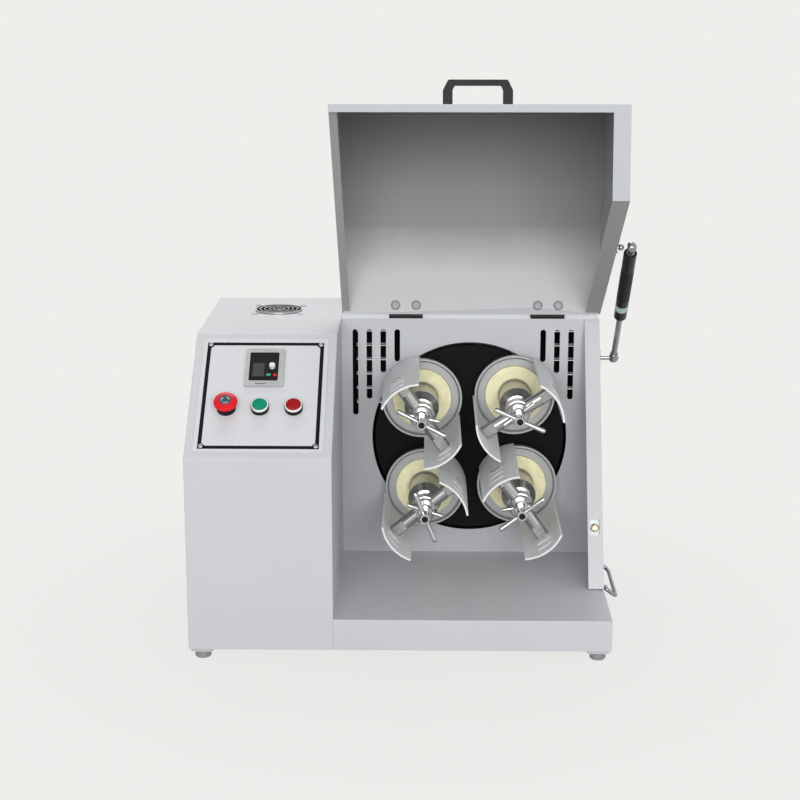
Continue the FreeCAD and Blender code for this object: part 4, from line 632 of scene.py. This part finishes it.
# %% Helpers for the small pieces
def piece(name, bm, material, body, matrix=None):
    """A mesh object from a bmesh. It sits at the origin and rides on a body."""
    if matrix is not None:
        bmesh.ops.transform(bm, matrix=matrix, verts=bm.verts)
    bmesh.ops.remove_doubles(bm, verts=bm.verts, dist=1e-7)
    bmesh.ops.recalc_face_normals(bm, faces=bm.faces)
    mesh = bpy.data.meshes.new(name)
    bm.to_mesh(mesh)
    bm.free()
    mesh.materials.append(material)
    made = bpy.data.objects.new(name, mesh)
    bpy.context.scene.collection.objects.link(made)
    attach(made, body)
    print(name, len(mesh.polygons), "faces")


def pull_up(bm, face, height):
    """Makes a flat face into a plate of some height."""
    pulled = bmesh.ops.extrude_face_region(bm, geom=[face])
    raised = [v for v in pulled["geom"] if isinstance(v, bmesh.types.BMVert)]
    bmesh.ops.translate(bm, verts=raised, vec=(0, 0, height))


def plate(bm, x0, x1, y0, y1, low, high):
    """A flat plate in slope coordinates, pulled up from one square face."""
    made = bmesh.ops.create_grid(bm, x_segments=1, y_segments=1, size=0.5)
    size = Matrix.Diagonal((x1 - x0, y1 - y0, 1, 1))
    place = Matrix.Translation(((x0 + x1) / 2, (y0 + y1) / 2, low))
    bmesh.ops.transform(bm, matrix=place @ size, verts=made["verts"])
    pull_up(bm, made["verts"][0].link_faces[0], high - low)


def disc(bm, radius, low, high):
    """A round plate about the origin, pulled up from one circle."""
    made = bmesh.ops.create_circle(bm, cap_ends=True, segments=40, radius=radius)
    bmesh.ops.translate(bm, verts=made["verts"], vec=(0, 0, low))
    pull_up(bm, made["verts"][0].link_faces[0], high - low)


def quarter(bm, x, y, radius, start, low, high, steps=12):
    """A quarter round plate with its corner at (x, y), pulled up from one face."""
    ring = [bm.verts.new((x, y, low))]
    for k in range(steps + 1):
        angle = math.radians(start + 90 * k / steps)
        ring.append(bm.verts.new((x + radius * math.cos(angle), y + radius * math.sin(angle), low)))
    pull_up(bm, bm.faces.new(ring), high - low)


def turn(bm, points, steps=48, angle=2 * math.pi):
    """Turns an outline of (radius, height) about Z, all the way round or over an angle."""
    verts = [bm.verts.new((r, 0, z)) for r, z in points]
    edges = [bm.edges.new((verts[i], verts[(i + 1) % len(verts)])) for i in range(len(verts))]
    full = abs(angle - 2 * math.pi) < 1e-6
    bmesh.ops.spin(bm, geom=verts + edges, cent=(0, 0, 0), axis=(0, 0, 1), angle=angle, steps=steps,
                   use_merge=full)


# %% [markdown]
# The border is a black line printed near the console's edge. Its outer corners are square, and
# inside each corner a quarter round pad lies under the screw.

# %% Console border
border_x = (20.9, 218.6)
border_u = (19.6, 246.8)
border_line = 6.4
pad_radius = 13.5
film = panel_thickness + 0.12
pad_film = film + 0.02
under = panel_thickness - 0.1

bm = bmesh.new()
x0, x1 = border_x
u0, u1 = border_u
plate(bm, x0, x1, u0, u0 + border_line, under, film)
plate(bm, x0, x1, u1 - border_line, u1, under, film)
plate(bm, x0, x0 + border_line, u0 + border_line, u1 - border_line, under, film)
plate(bm, x1 - border_line, x1, u0 + border_line, u1 - border_line, under, film)
for x, u, start in ((x0, u0, 0), (x1, u0, 90), (x1, u1, 180), (x0, u1, 270)):
    quarter(bm, x, u, pad_radius, start, under, pad_film)
piece("console_border", bm, print_black, "machine", to_slope)

# %% Keypad slot, and the emergency button's mark
keypad_top = panel_thickness + 4.0
slot_mark_x = (106.0, 125.0)
slot_mark_u = (153.4, 154.6)
bm = bmesh.new()
plate(bm, *slot_mark_x, *slot_mark_u, keypad_top - 0.1, keypad_top + 0.06)
piece("keypad_slot_mark", bm, black_plastic, "machine", to_slope)

emergency_centre = Vector((62.5, 103.5, 0.0))
mushroom_top = panel_thickness + 22.4
mark_radius = 10.6
arrow_inner, arrow_outer = 4.9, 7.6
arrow_top = mushroom_top + 0.3
arrow_span = math.radians(80)
bm = bmesh.new()
disc(bm, mark_radius, mushroom_top - 0.1, mushroom_top + 0.15)
piece("emergency_mark", bm, mark_blue, "emergency_button",
      to_slope @ Matrix.Translation(emergency_centre))

# %% Three arrows round the mark
bm = bmesh.new()
for k in range(3):
    part = bmesh.new()
    turn(part, [(arrow_inner, mushroom_top), (arrow_outer, mushroom_top), (arrow_outer, arrow_top),
                (arrow_inner, arrow_top)], steps=10, angle=arrow_span)
    bmesh.ops.holes_fill(part, edges=part.edges)
    bmesh.ops.rotate(part, cent=(0, 0, 0), matrix=Matrix.Rotation(math.radians(120 * k), 3, "Z"),
                     verts=part.verts)
    scrap = bpy.data.meshes.new("scrap")
    part.to_mesh(scrap)
    part.free()
    bm.from_mesh(scrap)
    bpy.data.meshes.remove(scrap)
piece("emergency_arrows", bm, mark_pale, "emergency_button",
      to_slope @ Matrix.Translation(emergency_centre))

# %% [markdown]
# The strut's tube carries a dull label sleeve and a pale green band near its lower end. Both
# are thin tubes that are turned from a small rectangle and laid along the strut.

# %% Strut label and band
tube_radius = 11.0
sleeve_inner = tube_radius - 0.1
sleeve_outer = tube_radius + 0.12
label_ends = (-140.0, -60.0)
band_ends = (-170.0, -156.0)
strut_turn = strut_way.to_track_quat("Z", "Y").to_matrix().to_4x4()
along_strut = Matrix.Translation(strut_head) @ strut_turn @ Matrix.Scale(mm, 4)


def sleeve(name, start, end, material):
    """A thin tube round the strut, between two places from its upper ball."""
    bm = bmesh.new()
    turn(bm, [(sleeve_inner, start), (sleeve_outer, start), (sleeve_outer, end), (sleeve_inner, end)])
    piece(name, bm, material, "strut_upper", along_strut)


sleeve("strut_label", *label_ends, black_plastic)
sleeve("strut_band", *band_ends, film_green)

# %% [markdown]
# The right wall's folded edge lies close behind the outermost slot on the right, so that slot
# shows light sheet metal where the others look onto insides made near black with painted shade.

# %% Folded edge behind the outermost slot
slot_x = mill_x + 205.5
slot_z = 391.0
edge_y = chamber_depth + wall_sheet + 0.8
edge_size = Vector((16.0, 1.0, 170.0)) * mm
bm = bmesh.new()
made = bmesh.ops.create_cube(bm, size=1.0)
bmesh.ops.scale(bm, vec=edge_size, verts=made["verts"])
bmesh.ops.translate(bm, vec=at(slot_x, edge_y, slot_z), verts=made["verts"])
piece("folded_edge", bm, back_wall, "machine")

# %% [markdown]
# Each clamp screw ends in a hub with a black plug in its socket.

# %% Plugs in the clamp screws
screw_front = 129.0
plug_outline = [(0.0, -4.0), (5.4, -4.0), (5.4, -2.2), (4.6, -1.6), (2.4, -1.6), (2.4, -3.4), (0.0, -3.4)]
facing = Matrix.Rotation(math.pi / 2, 4, "X")
for index, place in enumerate(stations):
    axis_x, axis_z = station_axis(index)
    bm = bmesh.new()
    turn(bm, plug_outline, steps=24)
    piece("screw_plug_" + place, bm, black_plastic, "screw_" + place,
          Matrix.Translation(at(axis_x, screw_front, axis_z)) @ facing @ Matrix.Scale(mm, 4))

# %% [markdown]
# ## The studio
#
# The photo is a soft, almost shadowless product shot on off-white. The floor and the world
# show that colour to the camera and to reflections, while the world lights the machine with a
# dimmer, cooler white. Close to the machine the floor takes a little of its shadow.

# %% What the camera and the reflections see
backdrop = (0.863, 0.855, 0.838)
scene = bpy.context.scene
scene.view_settings.view_transform = "Standard"


def seen_by(tree, *rays):
    """One for the named kinds of ray, and nought for all others."""
    path = add(tree, "ShaderNodeLightPath")
    seen = path.outputs[rays[0]]
    for ray in rays[1:]:
        seen = add(tree, "ShaderNodeMath", {0: seen, 1: path.outputs[ray]}, operation="MAXIMUM").outputs[0]
    return seen


# %% Floor
floor_radius = 45.0
shadow_from, shadow_to = 0.3, 0.9
bm = bmesh.new()
bmesh.ops.create_circle(bm, cap_ends=True, segments=64, radius=floor_radius)
floor_mesh = bpy.data.meshes.new("floor")
bm.to_mesh(floor_mesh)
bm.free()
floor = bpy.data.objects.new("floor", floor_mesh)
scene.collection.objects.link(floor)

paper = bpy.data.materials.new("studio paper")
paper.use_nodes = True
tree = paper.node_tree
tree.nodes.clear()
seen = seen_by(tree, "Is Camera Ray", "Is Glossy Ray", "Is Transmission Ray")
place = add(tree, "ShaderNodeTexCoord")
away = add(tree, "ShaderNodeVectorMath", {0: place.outputs["Object"]}, operation="LENGTH")
plain = add(tree, "ShaderNodeMapRange", {"Value": away.outputs["Value"], "From Min": shadow_from,
                                         "From Max": shadow_to, "To Min": 0.9, "To Max": 1.0})
share = add(tree, "ShaderNodeMath", {0: seen, 1: plain.outputs[0]}, operation="MULTIPLY")
glow = add(tree, "ShaderNodeEmission", {"Color": (*backdrop, 1), "Strength": 1.0})
matt = add(tree, "ShaderNodeBsdfDiffuse", {"Color": (0.42, 0.415, 0.41, 1)})
blend = add(tree, "ShaderNodeMixShader", {0: share.outputs[0], 1: matt.outputs[0], 2: glow.outputs[0]})
add(tree, "ShaderNodeOutputMaterial", {"Surface": blend.outputs[0]})
floor_mesh.materials.append(paper)

# %% World
world = bpy.data.worlds.new("studio")
scene.world = world
world.use_nodes = True
tree = world.node_tree
tree.nodes.clear()
seen = seen_by(tree, "Is Camera Ray", "Is Glossy Ray")
ambient = add(tree, "ShaderNodeBackground", {"Color": (0.985, 0.99, 1.0, 1), "Strength": 0.5})
shown = add(tree, "ShaderNodeBackground", {"Color": (*backdrop, 1), "Strength": 1.0})
blend = add(tree, "ShaderNodeMixShader", {0: seen, 1: ambient.outputs[0], 2: shown.outputs[0]})
add(tree, "ShaderNodeOutputWorld", {"Surface": blend.outputs[0]})


# %% Lamps: place from the machine's middle in metres, size in metres, power in watts
def softbox(name, place, target, width, height, power):
    """A rectangular area lamp that faces its target."""
    light = bpy.data.lights.new(name, "AREA")
    light.shape = "RECTANGLE"
    light.size = width
    light.size_y = height
    light.energy = power
    lamp = bpy.data.objects.new(name, light)
    lamp.location = place
    lamp.rotation_mode = "QUATERNION"
    lamp.rotation_quaternion = (Vector(target) - Vector(place)).to_track_quat("-Z", "Y")
    scene.collection.objects.link(lamp)


middle = (cad_low + cad_high) / 2
for name, offset, width, height, power in (("front", (0.2, -6.0, 1.6), 4.6, 2.2, 238.0),
                                           ("right", (2.4, -1.6, 0.5), 1.0, 1.6, 5.0),
                                           ("top", (-0.2, 2.6, 3.0), 2.4, 2.4, 76.0)):
    softbox(name, middle + Vector(offset), middle, width, height, power)

# %% [markdown]
# ## The camera
#
# The picture is taken from just above the console, a little left of the middle, with a long
# lens, so the sides of the body stay nearly parallel.

# %% Camera at the photo's angle
lens = 77.95
pitch = 13.78
heading = 0.95
sensor_width = 36.0
camera_stand = (394.82, -2684.29, 1084.98)
camera_data = bpy.data.cameras.new("camera")
camera_data.lens = lens
camera_data.sensor_width = sensor_width
camera = bpy.data.objects.new("camera", camera_data)
camera.location = at(*camera_stand)
camera.rotation_euler = (math.radians(90 - pitch), 0.0, math.radians(heading))
scene.collection.objects.link(camera)
scene.camera = camera
print("camera:", lens, "mm lens at", [round(v, 3) for v in camera.location])
